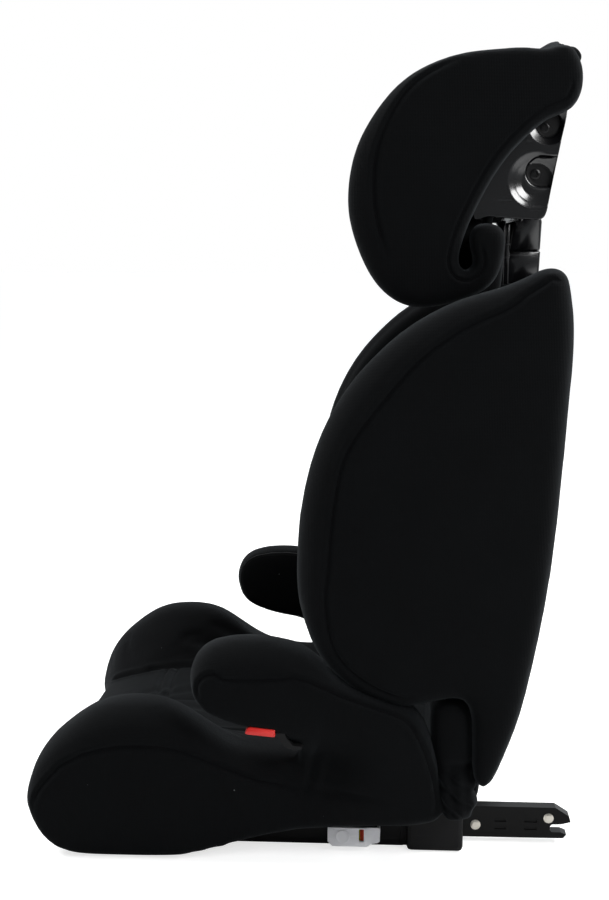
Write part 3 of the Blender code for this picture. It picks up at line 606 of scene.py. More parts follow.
ARMREST = [(-0.050, 0.157, 0.007), (-0.0465, 0.178, 0.017), (-0.030, 0.1915, 0.027), (0.005, 0.1955, 0.030),
           (0.038, 0.190, 0.024), (0.055, 0.180, 0.017), (0.068, 0.169, 0.011), (0.088, 0.157, 0.007),
           (0.112, 0.148, 0.006), (0.133, 0.140, 0.006), (0.146, 0.127, 0.007), (0.155, 0.105, 0.006),
           (0.162, 0.075, 0.005), (0.162, 0.050, 0.004), (0.149, 0.0365, 0.004), (0.110, 0.0330, 0.004),
           (0.060, 0.0325, 0.004), (0.040, 0.056, 0.006), (0.040, 0.085, 0.010), (0.040, 0.104, 0.010),
           (0.020, 0.1165, 0.009), (-0.012, 0.1230, 0.008), (-0.040, 0.1355, 0.008)]
ARM_INNER = 0.1688
ARM_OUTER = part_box("armrest_pad_left")[1].x - 0.003
arm_form, arm_seam, arm_ridge = rolled_panel("armrest_form", ARMREST, ARM_INNER, 0.191, ARM_OUTER, 0.006)


def drawn_in(points):
    """The armrest's foot is slimmer than its horn, so that it runs into the side of the base."""
    share = ease((0.128 - points[:, 2]) / 0.070) * ease((points[:, 0] - 0.185) / 0.03)
    points[:, 0] -= (ARM_OUTER - COVER_SIDE - 0.0015) * share
    return points


put_points(arm_form.data, drawn_in(points_of(arm_form.data)))
arm_seam = [Vector(p) for p in drawn_in(np.array([tuple(p) for p in arm_seam]))]

SHELL_ROOM = 0.0008
cavity = bmesh.new()
half = shell_high.x + SHELL_ROOM
room = (Matrix.Translation((0, 0.2 + shell_low.y - SHELL_ROOM, shell_high.z - 0.2))
        @ Matrix.Diagonal((2 * half, 0.4, 0.4 + 2 * SHELL_ROOM, 1)))
bmesh.ops.create_cube(cavity, size=1.0, matrix=room)
cavity = object_of("cavity", cavity, smooth=False)
hollow = base_form.modifiers.new("Hollow", "BOOLEAN")
hollow.operation = "DIFFERENCE"
hollow.object = cavity
settled(base_form)
bpy.data.objects.remove(cavity)
seat_cover = joined("seat_cover_padded", [base_form, arm_form])


def seat_held(points):
    x, y, z = points.T
    inside = (x < shell_high.x + 0.006) & (z < shell_high.z + 0.005) & (y > shell_low.y - 0.006)
    foot = (z < 0.005) | ((z < 0.024) & (y > -0.02))
    return inside | foot | (x < 0.005) | ((x < ARM_INNER + 0.004) & (y > 0.06))


bolster_ridge = [Vector((0.166, y, z)) for y, z in zip(RIDGE_Y, RIDGE_Z)]
base_seam = [Vector((COVER_SIDE, -0.188, 0.036)), Vector((COVER_SIDE, -0.1875, 0.049))]
base_seam += [Vector((COVER_SIDE + 0.004, y + 0.0065, z)) for y, z in zip(RIDGE_Y[1:14], SEAM_Z[1:14])]
stuffed(seat_cover, seat_held, 0.004, fill=0.0006,
        lines=(arm_seam, arm_ridge, bolster_ridge + bolster_ridge[::-1], base_seam + base_seam[::-1]))


def belt_hollow(points):
    """The cover sinks in behind the belt hook, and slack folds run across and below the hollow."""
    x, y, z = points.T
    out = ease((x - 0.182) / 0.016)
    dent = 0.015 * bell(y, 0.062, 0.028) * bell(z, 0.092, 0.021)
    dent += 0.0035 * bell(z - 0.066 + 0.10 * (y - 0.06), 0.0, 0.004) * bell(y, 0.075, 0.030)
    dent += 0.003 * bell(y - 0.052 - 0.25 * (z - 0.08), 0.0, 0.003) * bell(z, 0.083, 0.018)
    dent -= 0.002 * bell(y - 0.060 - 0.25 * (z - 0.08), 0.0, 0.003) * bell(z, 0.083, 0.018)
    points[:, 0] -= dent * out
    return points


put_points(seat_cover.data, belt_hollow(points_of(seat_cover.data)))

# The remesh rounds the half's inner edge, so that strip goes and the rest moves up to the middle.
EDGE_STRIP = 0.0055
half_build = bmesh.new()
half_build.from_mesh(seat_cover.data)
bmesh.ops.bisect_plane(half_build, geom=half_build.verts[:] + half_build.edges[:] + half_build.faces[:],
                       plane_co=(EDGE_STRIP, 0, 0), plane_no=(1, 0, 0), clear_inner=True)
for vert in half_build.verts:
    vert.co.x -= EDGE_STRIP * max(0.0, 1 - max(0.0, vert.co.x - 0.03) / 0.05)
half_build.to_mesh(seat_cover.data)
half_build.free()

base_valley = sewn(seat_cover, base_seam, fade=0.08)
arm_line = arm_seam[-3:] + arm_seam[:68]
arm_valley = sewn(seat_cover, arm_line, depth=0.0016, fade=0.03)
insert_line = [Vector((0.103, -0.178, 0.075)), Vector((0.101, -0.15, 0.08)), Vector((0.1005, -0.10, 0.085)),
               Vector((0.100, 0.0, 0.085)), Vector((0.100, 0.10, 0.085)), Vector((0.100, 0.158, 0.085))]
insert_valley = sewn(seat_cover, insert_line, depth=0.0022, width=0.003)
for y in (-0.118, -0.106):
    band = [Vector((x, y + 0.0015 * math.sin(x * 60), 0.085)) for x in np.linspace(0.0, 0.098, 12)]
    sewn(seat_cover, band, depth=0.0020, width=0.0028, finer=1)

INSERT_HALF = 0.1005
seat_cover = joined("seat_cover_padded", [seat_cover, mirrored(seat_cover, "other_half")])
weld = bmesh.new()
weld.from_mesh(seat_cover.data)
bmesh.ops.remove_doubles(weld, verts=[v for v in weld.verts if abs(v.co.x) < 0.0008], dist=0.0009)
for face in weld.faces:
    middle = face.calc_center_median()
    panel = abs(middle.x) < INSERT_HALF and middle.z > 0.060 and face.normal.z > 0.2 and middle.y > -0.178
    face.material_index = 1 if panel else 0
weld.to_mesh(seat_cover.data)
weld.free()
seat_cover.data.shade_smooth()
placed(seat_cover, "base", "black_fabric", BLACK_KNIT, SOFT_KNIT)
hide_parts("seat_cover", "armrest_pad_left", "armrest_pad_right")

# Dark tubes of painted shade lie in the valleys of these seams.
for label, valley in (("base", base_valley), ("armrest", arm_valley), ("insert", insert_valley)):
    seam_shade_pair(f"{label}_seam", valley, "base")

# ------------------------------------------------------------------ side wings
# Deep padded wings beside the child, over moulded frames. A front gusset rolls over the edge and meets the
# outer panel at one long plain seam.


def pair(obj, name, body, slot, *materials, nodes=()):
    """Places the left piece and its mirror image. The body may hold {side}; nodes leave their side out."""
    right = mirrored(obj, f"{name}_right")
    obj.name = f"{name}_left"
    for side, piece in (("left", obj), ("right", right)):
        placed(piece, body.format(side=side), slot, *materials)
        if nodes:
            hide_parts(*[f"{label}_{side}" for label in nodes])
    return obj, right


WING = [(0.2565, 0.4985, 0.007), (0.2495, 0.5030, 0.007), (0.2420, 0.5035, 0.007),
        (0.2335, 0.4990, 0.008), (0.2200, 0.4925, 0.010), (0.205, 0.487, 0.015), (0.165, 0.474, 0.020),
        (0.124, 0.449, 0.024), (0.085, 0.4085, 0.027), (0.060, 0.363, 0.023), (0.0465, 0.313, 0.025),
        (0.0420, 0.262, 0.025), (0.0440, 0.228, 0.021), (0.0545, 0.194, 0.016), (0.069, 0.1725, 0.013),
        (0.093, 0.153, 0.012), (0.125, 0.1415, 0.010), (0.152, 0.146, 0.008), (0.177, 0.150, 0.007),
        (0.188, 0.138, 0.006), (0.1905, 0.110, 0.005), (0.1915, 0.079, 0.005), (0.200, 0.0725, 0.006),
        (0.2135, 0.100, 0.008), (0.230, 0.152, 0.010), (0.2485, 0.257, 0.011), (0.2595, 0.390, 0.011),
        (0.2625, 0.455, 0.010)]
WING_INNER = 0.1640
WING_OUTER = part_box("side_wing_left")[1].x - 0.0025
wing, wing_seam, wing_ridge = rolled_panel("side_wing_padded_left", WING, WING_INNER, 0.190,
                                           WING_OUTER, 0.010)
FRAME_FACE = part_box("wing_frame_left")[1].x


def wing_held(points):
    return points[:, 0] < FRAME_FACE + 0.001


stuffed(wing, wing_held, 0.005, lines=(wing_seam, wing_ridge))
wing_line = wing_seam[2:len(wing_seam) * 15 // 25]
wing_valley = sewn(wing, wing_line, fade=0.03)
for piece in pair(wing, "side_wing_padded", "backrest", "black_fabric", BLACK_KNIT,
                  nodes=("side_wing", "wing_frame")):
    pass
# A dark tube of painted shade lies in the wing seam's valley.
seam_shade_pair("wing_seam", wing_valley, "backrest")

# ------------------------------------------------------------------ head wings
# The headrest's wings reach forward beside the head. Their rear edge is bound and stitched, and hooks round
# at the bottom into the slot that takes the shoulder belt.

head_low, head_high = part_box("head_wing_left")
HEAD_WING = [(0.0815, 0.565, 0.020), (0.0915, 0.611, 0.015), (0.123, 0.6545, 0.008), (0.165, 0.676, 0.004),
             (0.215, 0.682, 0.003), (0.240, 0.681, 0.003), (0.2605, 0.684, 0.005), (0.2705, 0.662, 0.004),
             (0.2640, 0.638, 0.003), (0.238, 0.6245, 0.003), (0.206, 0.5915, 0.003), (0.1810, 0.546, 0.003),
             (0.1715, 0.517, 0.003), (0.1725, 0.505, 0.003), (0.180, 0.5015, 0.003), (0.1868, 0.508, 0.003),
             (0.1845, 0.520, 0.003), (0.1830, 0.5310, 0.003), (0.1870, 0.5385, 0.004),
             (0.1960, 0.5405, 0.004), (0.2060, 0.5375, 0.004), (0.2100, 0.526, 0.005), (0.2020, 0.496, 0.006),
             (0.178, 0.4805, 0.007), (0.137, 0.4735, 0.009), (0.108, 0.4895, 0.016), (0.0885, 0.5255, 0.020)]
HEAD_INNER = 0.1145
HEAD_OUTER = head_high.x - 0.002
head_wing, head_seam, head_ridge = rolled_panel("head_wing_padded_left", HEAD_WING, HEAD_INNER, 0.150,
                                                HEAD_OUTER, 0.006)


def head_held(points):
    return points[:, 0] < head_low.x + 0.002


stuffed(head_wing, head_held, 0.004, voxel=0.0032, lines=(head_seam, head_ridge), fill=0.0018)
front_line = head_seam[-8:] + head_seam[:17]
head_valley = sewn(head_wing, front_line, depth=0.0016, fade=0.12)


def set_in(line, amount):
    """The outer-face line moved towards the middle of the panel."""
    flat = np.array([(p.y, p.z) for p in line])
    moved = flat + inward(smooth_loop(HEAD_WING, LINE_STEPS)[:, :2]) * amount
    return [Vector((HEAD_OUTER + 0.01, y, z)) for y, z in moved]


rear_line = set_in(head_seam, 0.0035)[36:83]
binding = sewn(head_wing, rear_line, depth=0.0010, width=0.0014, step=0.001, fade=0.03)
for piece in pair(head_wing, "head_wing_padded", "headrest", "black_fabric", BLACK_KNIT,
                  nodes=("head_wing", "head_wing_frame")):
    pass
# Dark tubes of painted shade lie in the front seam and the binding.
seam_shade_pair("head_front_seam", head_valley, "headrest", radius=0.00045)
seam_shade_pair("head_binding_seam", binding, "headrest", radius=0.00045)

# ------------------------------------------------------------------ moulded and metal finishes
# Base, housings and frames are grained black plastic; the headrest shell is polished; the anchor arms are
# powder coated steel, and the rivets and hooks are zinc plated.

grain, given, result = effect("moulded_grain", {"Size": 0.0006}, ("Height", "Mottle"))
place = node(grain, "ShaderNodeTexCoord")
pebbles = node(grain, "ShaderNodeTexVoronoi", feature="SMOOTH_F1")
feed(grain, pebbles.inputs["Scale"], sum_of(grain, "DIVIDE", 1.0, given.outputs["Size"]))
cloud = node(grain, "ShaderNodeTexNoise")
cloud.inputs["Scale"].default_value = 18
cloud.inputs["Detail"].default_value = 5
for texture in (pebbles, cloud):
    grain.links.new(place.outputs["Object"], texture.inputs["Vector"])
feed(grain, result.inputs["Height"], pebbles.outputs["Distance"])
feed(grain, result.inputs["Mottle"], cloud.outputs["Fac"])

scuffs, given, result = effect("scuffs", {"Amount": 0.5}, ("Mask",))
place = node(scuffs, "ShaderNodeTexCoord")
stretch = node(scuffs, "ShaderNodeMapping")
stretch.inputs["Scale"].default_value = (260, 22, 260)
stretch.inputs["Rotation"].default_value = (0.5, 0.2, 0.7)
scratch = node(scuffs, "ShaderNodeTexNoise")
scratch.inputs["Scale"].default_value = 1.0
scratch.inputs["Detail"].default_value = 4
worn = node(scuffs, "ShaderNodeTexNoise")
worn.inputs["Scale"].default_value = 30
scuffs.links.new(place.outputs["Object"], stretch.inputs[0])
scuffs.links.new(stretch.outputs[0], scratch.inputs["Vector"])
scuffs.links.new(place.outputs["Object"], worn.inputs["Vector"])
line = sum_of(scuffs, "GREATER_THAN", scratch.outputs["Fac"], 0.66)
rubbed = sum_of(scuffs, "MULTIPLY", line, worn.outputs["Fac"])
feed(scuffs, result.inputs["Mask"], sum_of(scuffs, "MULTIPLY", rubbed, given.outputs["Amount"]))

dust, given, result = effect("settled_dust", {"Amount": 0.5}, ("Mask",))
place = node(dust, "ShaderNodeTexCoord")
up = node(dust, "ShaderNodeSeparateXYZ")
dust.links.new(place.outputs["Normal"], up.inputs[0])
motes = node(dust, "ShaderNodeTexNoise")
motes.inputs["Scale"].default_value = 420
motes.inputs["Detail"].default_value = 6
dust.links.new(place.outputs["Object"], motes.inputs["Vector"])
level = sum_of(dust, "MAXIMUM", up.outputs[2], 0.08)
lying = sum_of(dust, "MULTIPLY", level, motes.outputs["Fac"])
feed(dust, result.inputs["Mask"], sum_of(dust, "MULTIPLY", lying, given.outputs["Amount"]))


DUST_GREY = (0.030, 0.030, 0.028, 1)


def moulded(name, dark, light, rough, size=0.0006, relief=0.00012, dusty=0.25, **constants):
    """Moulded plastic: mottled colour, a fine grain, faint scuffs and some dust on what faces up."""
    made, tree, shader = finish(name, **constants)
    skin = use(tree, grain, Size=size)
    marks = use(tree, scuffs, Amount=0.5)
    film = use(tree, dust, Amount=dusty)
    tone = blend_colours(tree, skin.outputs["Mottle"], dark, light)
    lighter = tuple(min(1.0, c * 2.2 + 0.004) for c in light[:3]) + (1,)
    tone = blend_colours(tree, marks.outputs["Mask"], tone, lighter)
    tone = blend_colours(tree, film.outputs["Mask"], tone, DUST_GREY)
    feed(tree, shader.inputs["Base Color"], tone)
    rougher = sum_of(tree, "MULTIPLY_ADD", marks.outputs["Mask"], 0.25, rough)
    mottled = sum_of(tree, "MULTIPLY_ADD", skin.outputs["Mottle"], 0.10, rougher)
    feed(tree, shader.inputs["Roughness"], mottled)
    feed(tree, shader.inputs["Normal"], bumped(tree, skin.outputs["Height"], relief, 0.5))
    return made


MATT_BLACK = moulded("grained_black_plastic", (0.0030, 0.0030, 0.0034, 1), (0.0065, 0.0065, 0.007, 1), 0.48,
                     Specular_IOR_Level=0.16)
GLOSS_BLACK = moulded("polished_black_plastic", (0.0015, 0.0015, 0.002, 1), (0.003, 0.003, 0.0035, 1), 0.17,
                      size=0.004, relief=0.00001, dusty=0.02, Coat_Weight=0.8, Coat_Roughness=0.14)
SATIN_BLACK = moulded("satin_black_plastic", (0.0025, 0.0025, 0.003, 1), (0.005, 0.005, 0.0055, 1), 0.24,
                      size=0.0009, relief=0.00004, dusty=0.10, Specular_IOR_Level=0.30)
GREY_PLASTIC = moulded("light_grey_plastic", (0.78, 0.78, 0.81, 1), (0.86, 0.86, 0.89, 1), 0.42, dusty=0.03)
RED_PLASTIC = moulded("red_plastic", (0.52, 0.010, 0.008, 1), (0.66, 0.020, 0.014, 1), 0.34, dusty=0.1)
COATED_STEEL = moulded("powder_coated_steel", (0.0018, 0.0018, 0.0018, 1), (0.004, 0.004, 0.0042, 1), 0.26,
                       size=0.0011, relief=0.00008, dusty=0.10, Specular_IOR_Level=0.14)

ZINC, tree, shader = finish("zinc_plating", Metallic=1.0)
skin = use(tree, grain, Size=0.0004)
marks = use(tree, scuffs, Amount=0.8)
feed(tree, shader.inputs["Base Color"], blend_colours(tree, skin.outputs["Mottle"], (0.62, 0.58, 0.50, 1),
                                                      (0.78, 0.75, 0.68, 1)))
feed(tree, shader.inputs["Roughness"], sum_of(tree, "MULTIPLY_ADD", marks.outputs["Mask"], 0.3, 0.30))
feed(tree, shader.inputs["Normal"], bumped(tree, skin.outputs["Height"], 0.00005, 0.4))

BEAD_FOAM, tree, shader = finish("white_bead_foam", Roughness=0.85, Specular_IOR_Level=0.3)
beads = node(tree, "ShaderNodeTexVoronoi")
beads.inputs["Scale"].default_value = 320
place = node(tree, "ShaderNodeTexCoord")
tree.links.new(place.outputs["Object"], beads.inputs["Vector"])
# The foam's colour darkens from each bead's middle to its edge, which is painted shade in the gaps between
# the beads.
feed(tree, shader.inputs["Base Color"], blend_colours(tree, beads.outputs["Distance"], (0.86, 0.86, 0.84, 1),
                                                      (0.62, 0.62, 0.60, 1)))
rounded = sum_of(tree, "SUBTRACT", 1.0, beads.outputs["Distance"])
feed(tree, shader.inputs["Normal"], bumped(tree, rounded, 0.0012))


def dressed(material, slot, *names):
    """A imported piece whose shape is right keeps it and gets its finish."""
    for name in names:
        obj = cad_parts[name]
        obj.data.materials.clear()
        obj.data.materials.append(material)


def both(*names):
    return [f"{name}_{side}" for name in names for side in ("left", "right")]


# ------------------------------------------------------------------ base: shell, tray, anchor housings
# The moulded shell stands on a flat tray; each housing at the rear guides an anchor arm. The housings show
# below the cover, with rounded edges and a shadow gap to the tray.

dressed(MATT_BLACK, "matt_black_plastic",
        "base_shell", "bottom_tray", *both("anchor_housing", "pivot_bracket"))
dressed(COATED_STEEL, "black_steel", *both("anchor_channel"))
dressed(ZINC, "zinc_steel", "pivot_rod")


def rounded_block(name, outline, x0, x1, bevel, segments=3):
    """A flat outline (y, z) from x0 to x1 with rounded edges."""
    build = bmesh.new()
    near_row = [build.verts.new((x0, y, z)) for y, z in outline]
    far_row = [build.verts.new((x1, y, z)) for y, z in outline]
    build.faces.new(near_row)
    build.faces.new(far_row)
    walls(build, (near_row, far_row))
    made = object_of(name, build)
    edge = made.modifiers.new("Bevel", "BEVEL")
    edge.width = bevel
    edge.segments = segments
    edge.limit_method = "ANGLE"
    edge.angle_limit = math.radians(35)
    edge.harden_normals = True
    settled(made)
    made.data.shade_smooth()
    made.data.set_sharp_from_angle(angle=math.radians(50))
    return made


def cut(obj, tool):
    """Takes the tool's volume out of the object."""
    hole = obj.modifiers.new("Cut", "BOOLEAN")
    hole.operation = "DIFFERENCE"
    hole.object = tool
    settled(obj)
    bpy.data.objects.remove(tool)
    obj.data.set_sharp_from_angle(angle=math.radians(40))
    return obj


def oblong(y0, y1, z0, z1):
    """The four corners of a rectangle in side view."""
    return [(y0, z0), (y1, z0), (y1, z1), (y0, z1)]


# A rib across each housing, with an opening for the anchor arm and its front rivet.
root = rounded_block("housing_root", oblong(0.1285, 0.1350, 0.0010, 0.0360), 0.1130, 0.1600, 0.0006, 1)
cut(root, rounded_block("arm_tool", oblong(0.12, 0.15, 0.0030, 0.0340), 0.1318, 0.1482, 0.0003, 1))
pair(root, "housing_root", "base", "matt_black_plastic", MATT_BLACK)

# ------------------------------------------------------------------ release slider and indicator
# A light grey slider on each side of the base frees the anchor hooks. A round thumb pad stands at its front;
# the window behind it shows a printed card, yellow green and then red.

slide_low, slide_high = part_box("release_slider_left")
UNDER_SLIDER = slide_low.z - 0.0004
SLIDER_BODY = [(0.0654, 0.0098), (0.0694, UNDER_SLIDER), (0.1000, UNDER_SLIDER), (0.1038, 0.0082),
               (0.1085, 0.0090), (0.1108, 0.0104), (0.1112, 0.0205), (0.1100, 0.0228), (0.0660, 0.0228),
               (0.0654, 0.0220)]
FACE = slide_high.x
slider = rounded_block("release_slider_cap", SLIDER_BODY, slide_low.x, FACE, 0.0013, 4)
STEP = oblong(0.0994, 0.12, 0.002, 0.03)
ROOM = oblong(0.0834, 0.1085, 0.0085, 0.0260)
WINDOW = oblong(0.0926, 0.0970, 0.0099, 0.0216)
cut(slider, rounded_block("step_tool", STEP, FACE - 0.0009, FACE + 0.01, 0.0003, 1))
cut(slider, rounded_block("room_tool", ROOM, slide_low.x - 0.01, FACE - 0.0030, 0.0003, 1))
cut(slider, rounded_block("window_tool", WINDOW, FACE - 0.006, FACE + 0.01, 0.0004, 1))


def disc(name, middle, radius, x0, x1, profile, steps=48):
    """A turned piece along X: profile holds (radius share, x share) from the rim to the centre."""
    build = bmesh.new()
    rings = []
    for share, depth in profile:
        x = x0 + (x1 - x0) * depth
        if share == 0:
            rings.append([build.verts.new((x, *middle))])
            continue
        rings.append([build.verts.new((x, middle[0] + radius * share * math.cos(a),
                                       middle[1] + radius * share * math.sin(a)))
                      for a in np.linspace(0, 2 * math.pi, steps, endpoint=False)])
    for one, other in zip(rings, rings[1:]):
        for i in range(steps):
            j = (i + 1) % steps
            if len(other) == 1:
                build.faces.new((one[i], one[j], other[0]))
            else:
                build.faces.new((one[i], one[j], other[j], other[i]))
    build.faces.new(rings[0])
    return object_of(name, build)


thumb = disc("thumb_pad", (0.0785, 0.0148), 0.0062, FACE - 0.0008, FACE + 0.0007,
             [(1.0, 0.0), (1.0, 0.7), (0.96, 0.95), (0.90, 1.0), (0.84, 0.8), (0.5, 0.62), (0, 0.6)])
pair(slider, "release_slider_cap", "release_slider_{side}", "grey_plastic", GREY_PLASTIC,
     nodes=("release_slider",))
pair(thumb, "thumb_pad", "release_slider_{side}", "grey_plastic", GREY_PLASTIC)

STRIP, tree, shader = finish("indicator_print", Roughness=0.4)
place = node(tree, "ShaderNodeTexCoord")
point = node(tree, "ShaderNodeSeparateXYZ")
tree.links.new(place.outputs["Object"], point.inputs[0])
print_noise = node(tree, "ShaderNodeTexNoise")
print_noise.inputs["Scale"].default_value = 700
RED_FROM = 0.0936
edge = sum_of(tree, "GREATER_THAN", point.outputs[1], RED_FROM)
red_ink = blend_colours(tree, print_noise.outputs["Fac"], (0.50, 0.035, 0.012, 1), (0.62, 0.060, 0.018, 1))
feed(tree, shader.inputs["Base Color"], blend_colours(tree, edge, (0.50, 0.55, 0.03, 1), red_ink))
strip = rounded_block("indicator_card", oblong(0.0919, 0.1080, 0.0090, 0.0222),
                      FACE - 0.0046, FACE - 0.0038, 0.0002, 1)
pair(strip, "indicator_card", "base", "indicator_label", STRIP, nodes=("indicator_strip",))

# ------------------------------------------------------------------ lower anchors
# Powder coated steel arms with pressed slots, held by two zinc rivets each; the hook turns on the rear one.

dressed(COATED_STEEL, "black_steel", *both("anchor_arm"))
dressed(ZINC, "zinc_steel", *both("anchor_rivet_front", "anchor_rivet_rear", "latch_hook"))

# ------------------------------------------------------------------ belt hooks
# The lap belt runs under a red hook moulded on the armrest's frame; a dark lip behind it keeps the belt in.

hook_low, hook_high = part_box("belt_guide_left")
HOOK = [(hook_low.y - 0.0015, hook_low.z + 0.0032), (hook_low.y + 0.001, hook_low.z + 0.0022),
        (hook_high.y, hook_low.z + 0.0002), (hook_high.y, hook_high.z - 0.0010),
        (hook_low.y + 0.0035, hook_high.z + 0.0008), (hook_low.y + 0.0005, hook_high.z)]
hook = rounded_block("belt_hook", HOOK, hook_low.x, hook_high.x, 0.0008)
pair(hook, "belt_hook", "base", "red_plastic", RED_PLASTIC, nodes=("belt_guide",))
dressed(MATT_BLACK, "matt_black_plastic", *both("belt_guide_lip", "armrest_frame"))

# ------------------------------------------------------------------ hinge sleeves
# Where the backrest turns on the base, a sewn sleeve covers the hinge and its slack gathers below in folds.
# A flap of the same knit closes the gap towards the middle.

SLEEVE = [(0.1570, 0.136, 0.004), (0.172, 0.1445, 0.006), (0.1835, 0.136, 0.006), (0.1865, 0.118, 0.005),
          (0.1865, 0.092, 0.005), (0.1880, 0.072, 0.005), (0.1900, 0.054, 0.006), (0.1850, 0.0425, 0.006),
          (0.168, 0.0425, 0.005), (0.1615, 0.058, 0.004), (0.1600, 0.080, 0.004), (0.1565, 0.110, 0.004)]
sleeve, _, _ = rolled_panel("hinge_sleeve_padded", SLEEVE, 0.170, 0.186, 0.200, 0.004)


def sleeve_held(points):
    return points[:, 0] < 0.174


stuffed(sleeve, sleeve_held, 0.0025, voxel=0.0026, fill=0.0026)


def gathered(points):
    """Folds of the slack knit at the foot of the sleeve."""
    x, y, z = points.T
    low = ease((0.092 - z) / 0.014)
    slant = (z - 0.045) * 0.85 + (y - 0.165) * 0.55
    folds = np.sin(slant * 2 * math.pi / 0.0125 + 2.2 * np.sin((y - 0.16) * 70)) * 0.0017
    folds += np.sin((y - 0.16) * 2 * math.pi / 0.011 + z * 60) * 0.0008
    neck = 0.0035 * bell(z, 0.0885, 0.005) * ease((y - 0.163) / 0.01)
    points[:, 0] += (folds * low - neck + 0.002 * low) * ease((x - 0.178) / 0.010)
    points[:, 1] += 0.0012 * np.sin(z * 2 * math.pi / 0.017) * low * ease((y - 0.178) / 0.01)
    return points


put_points(sleeve.data, gathered(points_of(sleeve.data)))
left_sleeve, right_sleeve = pair(sleeve, "hinge_sleeve_padded", "base", "black_fabric", BLACK_KNIT,
                                 nodes=("hinge_sleeve",))
FLAP = [(0.150, 0.050, 0.004), (0.150, 0.094, 0.004), (0.172, 0.098, 0.004), (0.192, 0.092, 0.004),
        (0.197, 0.066, 0.004), (0.192, 0.044, 0.004), (0.168, 0.0425, 0.004)]
flap, _, _ = rolled_panel("hinge_flap", FLAP, 0.1535, 0.159, 0.1665, 0.003)
left_flap, right_flap = pair(flap, "hinge_flap", "base", "black_fabric", BLACK_KNIT)

# ------------------------------------------------------------------ back cushion
# A crowned padded panel between the wings, sewn down in two long channels and two cross ones. Small pads
# close the gaps above and below it, and foam, the stalk's channel and the height rack lie behind it.

LEAN = math.radians(8)
PIVOT = Vector((0, 0.178, 0.072))
BACK = Matrix.Translation(PIVOT) @ Matrix.Rotation(-LEAN, 4, "X")


def on_back(x, v, u):
    """A point across the seat, behind the recline axis and up along the back."""
    return BACK @ Vector((x, v, u))


def cushion(name, half, thick, low, high, front, round_off, crown):
    """A closed pad on the back: half width, thickness, lower and upper end along the back, front plane."""
    rings = []
    across = np.linspace(-1, 1, 41)
    for t in np.linspace(0, 1, 61):
        u = low + (high - low) * t
        end = min(t, 1 - t) * (high - low)
        roll = math.sqrt(max(0.0, 1 - max(0.0, 1 - end / round_off) ** 2))
        width = half - round_off * 0.5 * (1 - roll)
        front_row, back_row = [], []
        for s in across:
            side = math.sqrt(max(0.0, 1 - max(0.0, 1 - (1 - abs(s)) * half / round_off) ** 2))
            deep = thick / 2 * roll * (0.25 + 0.75 * side)
            bulge = crown * roll * side * (0.6 + 0.4 * math.cos(math.pi * s))
            front_row.append(on_back(s * width, front + thick / 2 - deep - bulge, u))
            back_row.append(on_back(s * width, front + thick / 2 + deep, u))
        rings.append(front_row + back_row[::-1])
    return lofted(name, rings)


PAD_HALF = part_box("back_pad")[1].x
BACK_FRONT = -0.0335
back_cushion = cushion("back_cushion", PAD_HALF - 0.001, 0.023, 0.036, 0.364, BACK_FRONT, 0.012, 0.004)


def behind_axis(points):
    """How far the points lie behind the back's plane through the recline axis."""
    return (points - np.array(PIVOT)) @ np.array((0, math.cos(LEAN), -math.sin(LEAN)))


def cushion_held(points):
    return (behind_axis(points) > BACK_FRONT + 0.019) | (np.abs(points[:, 0]) > PAD_HALF - 0.004)


stuffed(back_cushion, cushion_held, 0.006, voxel=0.0055, fill=0.0)
back_seams = []
for side in (-1, 1):
    channel = [on_back(side * (0.088 + 0.012 * math.sin(math.pi * t)), BACK_FRONT - 0.02, 0.040 + 0.320 * t)
               for t in np.linspace(0, 1, 24)]
    back_seams.append(sewn(back_cushion, channel, depth=0.0045, width=0.0045, finer=1))
for height in (0.135, 0.255):
    channel = [on_back(x, BACK_FRONT - 0.02, height + 0.010 * (x / 0.09) ** 2)
               for x in np.linspace(-0.098, 0.098, 18)]
    back_seams.append(sewn(back_cushion, channel, depth=0.0035, width=0.0045, finer=1))
placed(back_cushion, "backrest", "black_fabric", BLACK_KNIT)
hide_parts("back_pad")
# Dark tubes of painted shade lie in the channels' valleys.
for i, valley in enumerate(back_seams):
    seam = shade_tube_along(f"back_seam_{i + 1}", valley, SHADE_TUBE_RADIUS)
    placed(seam, "backrest", "black_fabric", SEAM_SHADE)


def across_back(name, outline, inner, ridge, outer):
    """A left and a right pad from one outline: how far behind the recline axis, how far up, roll."""
    flat = [(*tuple(on_back(0, v, u))[1:], roll) for v, u, roll in outline]
    pad, _, _ = rolled_panel(name, flat, inner, ridge, outer, 0.004)
    stuffed(pad, lambda points: points[:, 0] < inner + 0.006, 0.002, fill=0.0)
    for piece in pair(pad, name, "backrest", "black_fabric", BLACK_KNIT):
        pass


TOP_PAD = [(-0.033, 0.345, 0.004), (-0.0335, 0.366, 0.006), (-0.0260, 0.3735, 0.006), (0.018, 0.3735, 0.005),
           (0.0258, 0.370, 0.004), (0.0258, 0.345, 0.004)]
SKIRT = [(-0.0300, 0.055, 0.004), (-0.0180, 0.058, 0.004), (-0.0135, 0.035, 0.004), (-0.0135, 0.004, 0.004),
         (-0.0190, -0.005, 0.004), (-0.0255, -0.002, 0.004), (-0.0280, 0.026, 0.004)]
across_back("back_top", TOP_PAD, 0.0440, 0.156, 0.1640)
across_back("back_skirt", SKIRT, -0.005, 0.150, 0.1590)
dressed(BEAD_FOAM, "white_foam", *both("foam_block"))
dressed(SATIN_BLACK, "matt_black_plastic", "guide_channel")
dressed(COATED_STEEL, "black_steel", "height_rack", "lock_bar")

# ------------------------------------------------------------------ moulded back
# The rear of the backrest is one moulded shell, crowned, with a raised rim and long ribs. It gets thinner
# towards its top edge, and two lugs at its foot turn on the pivot rod.

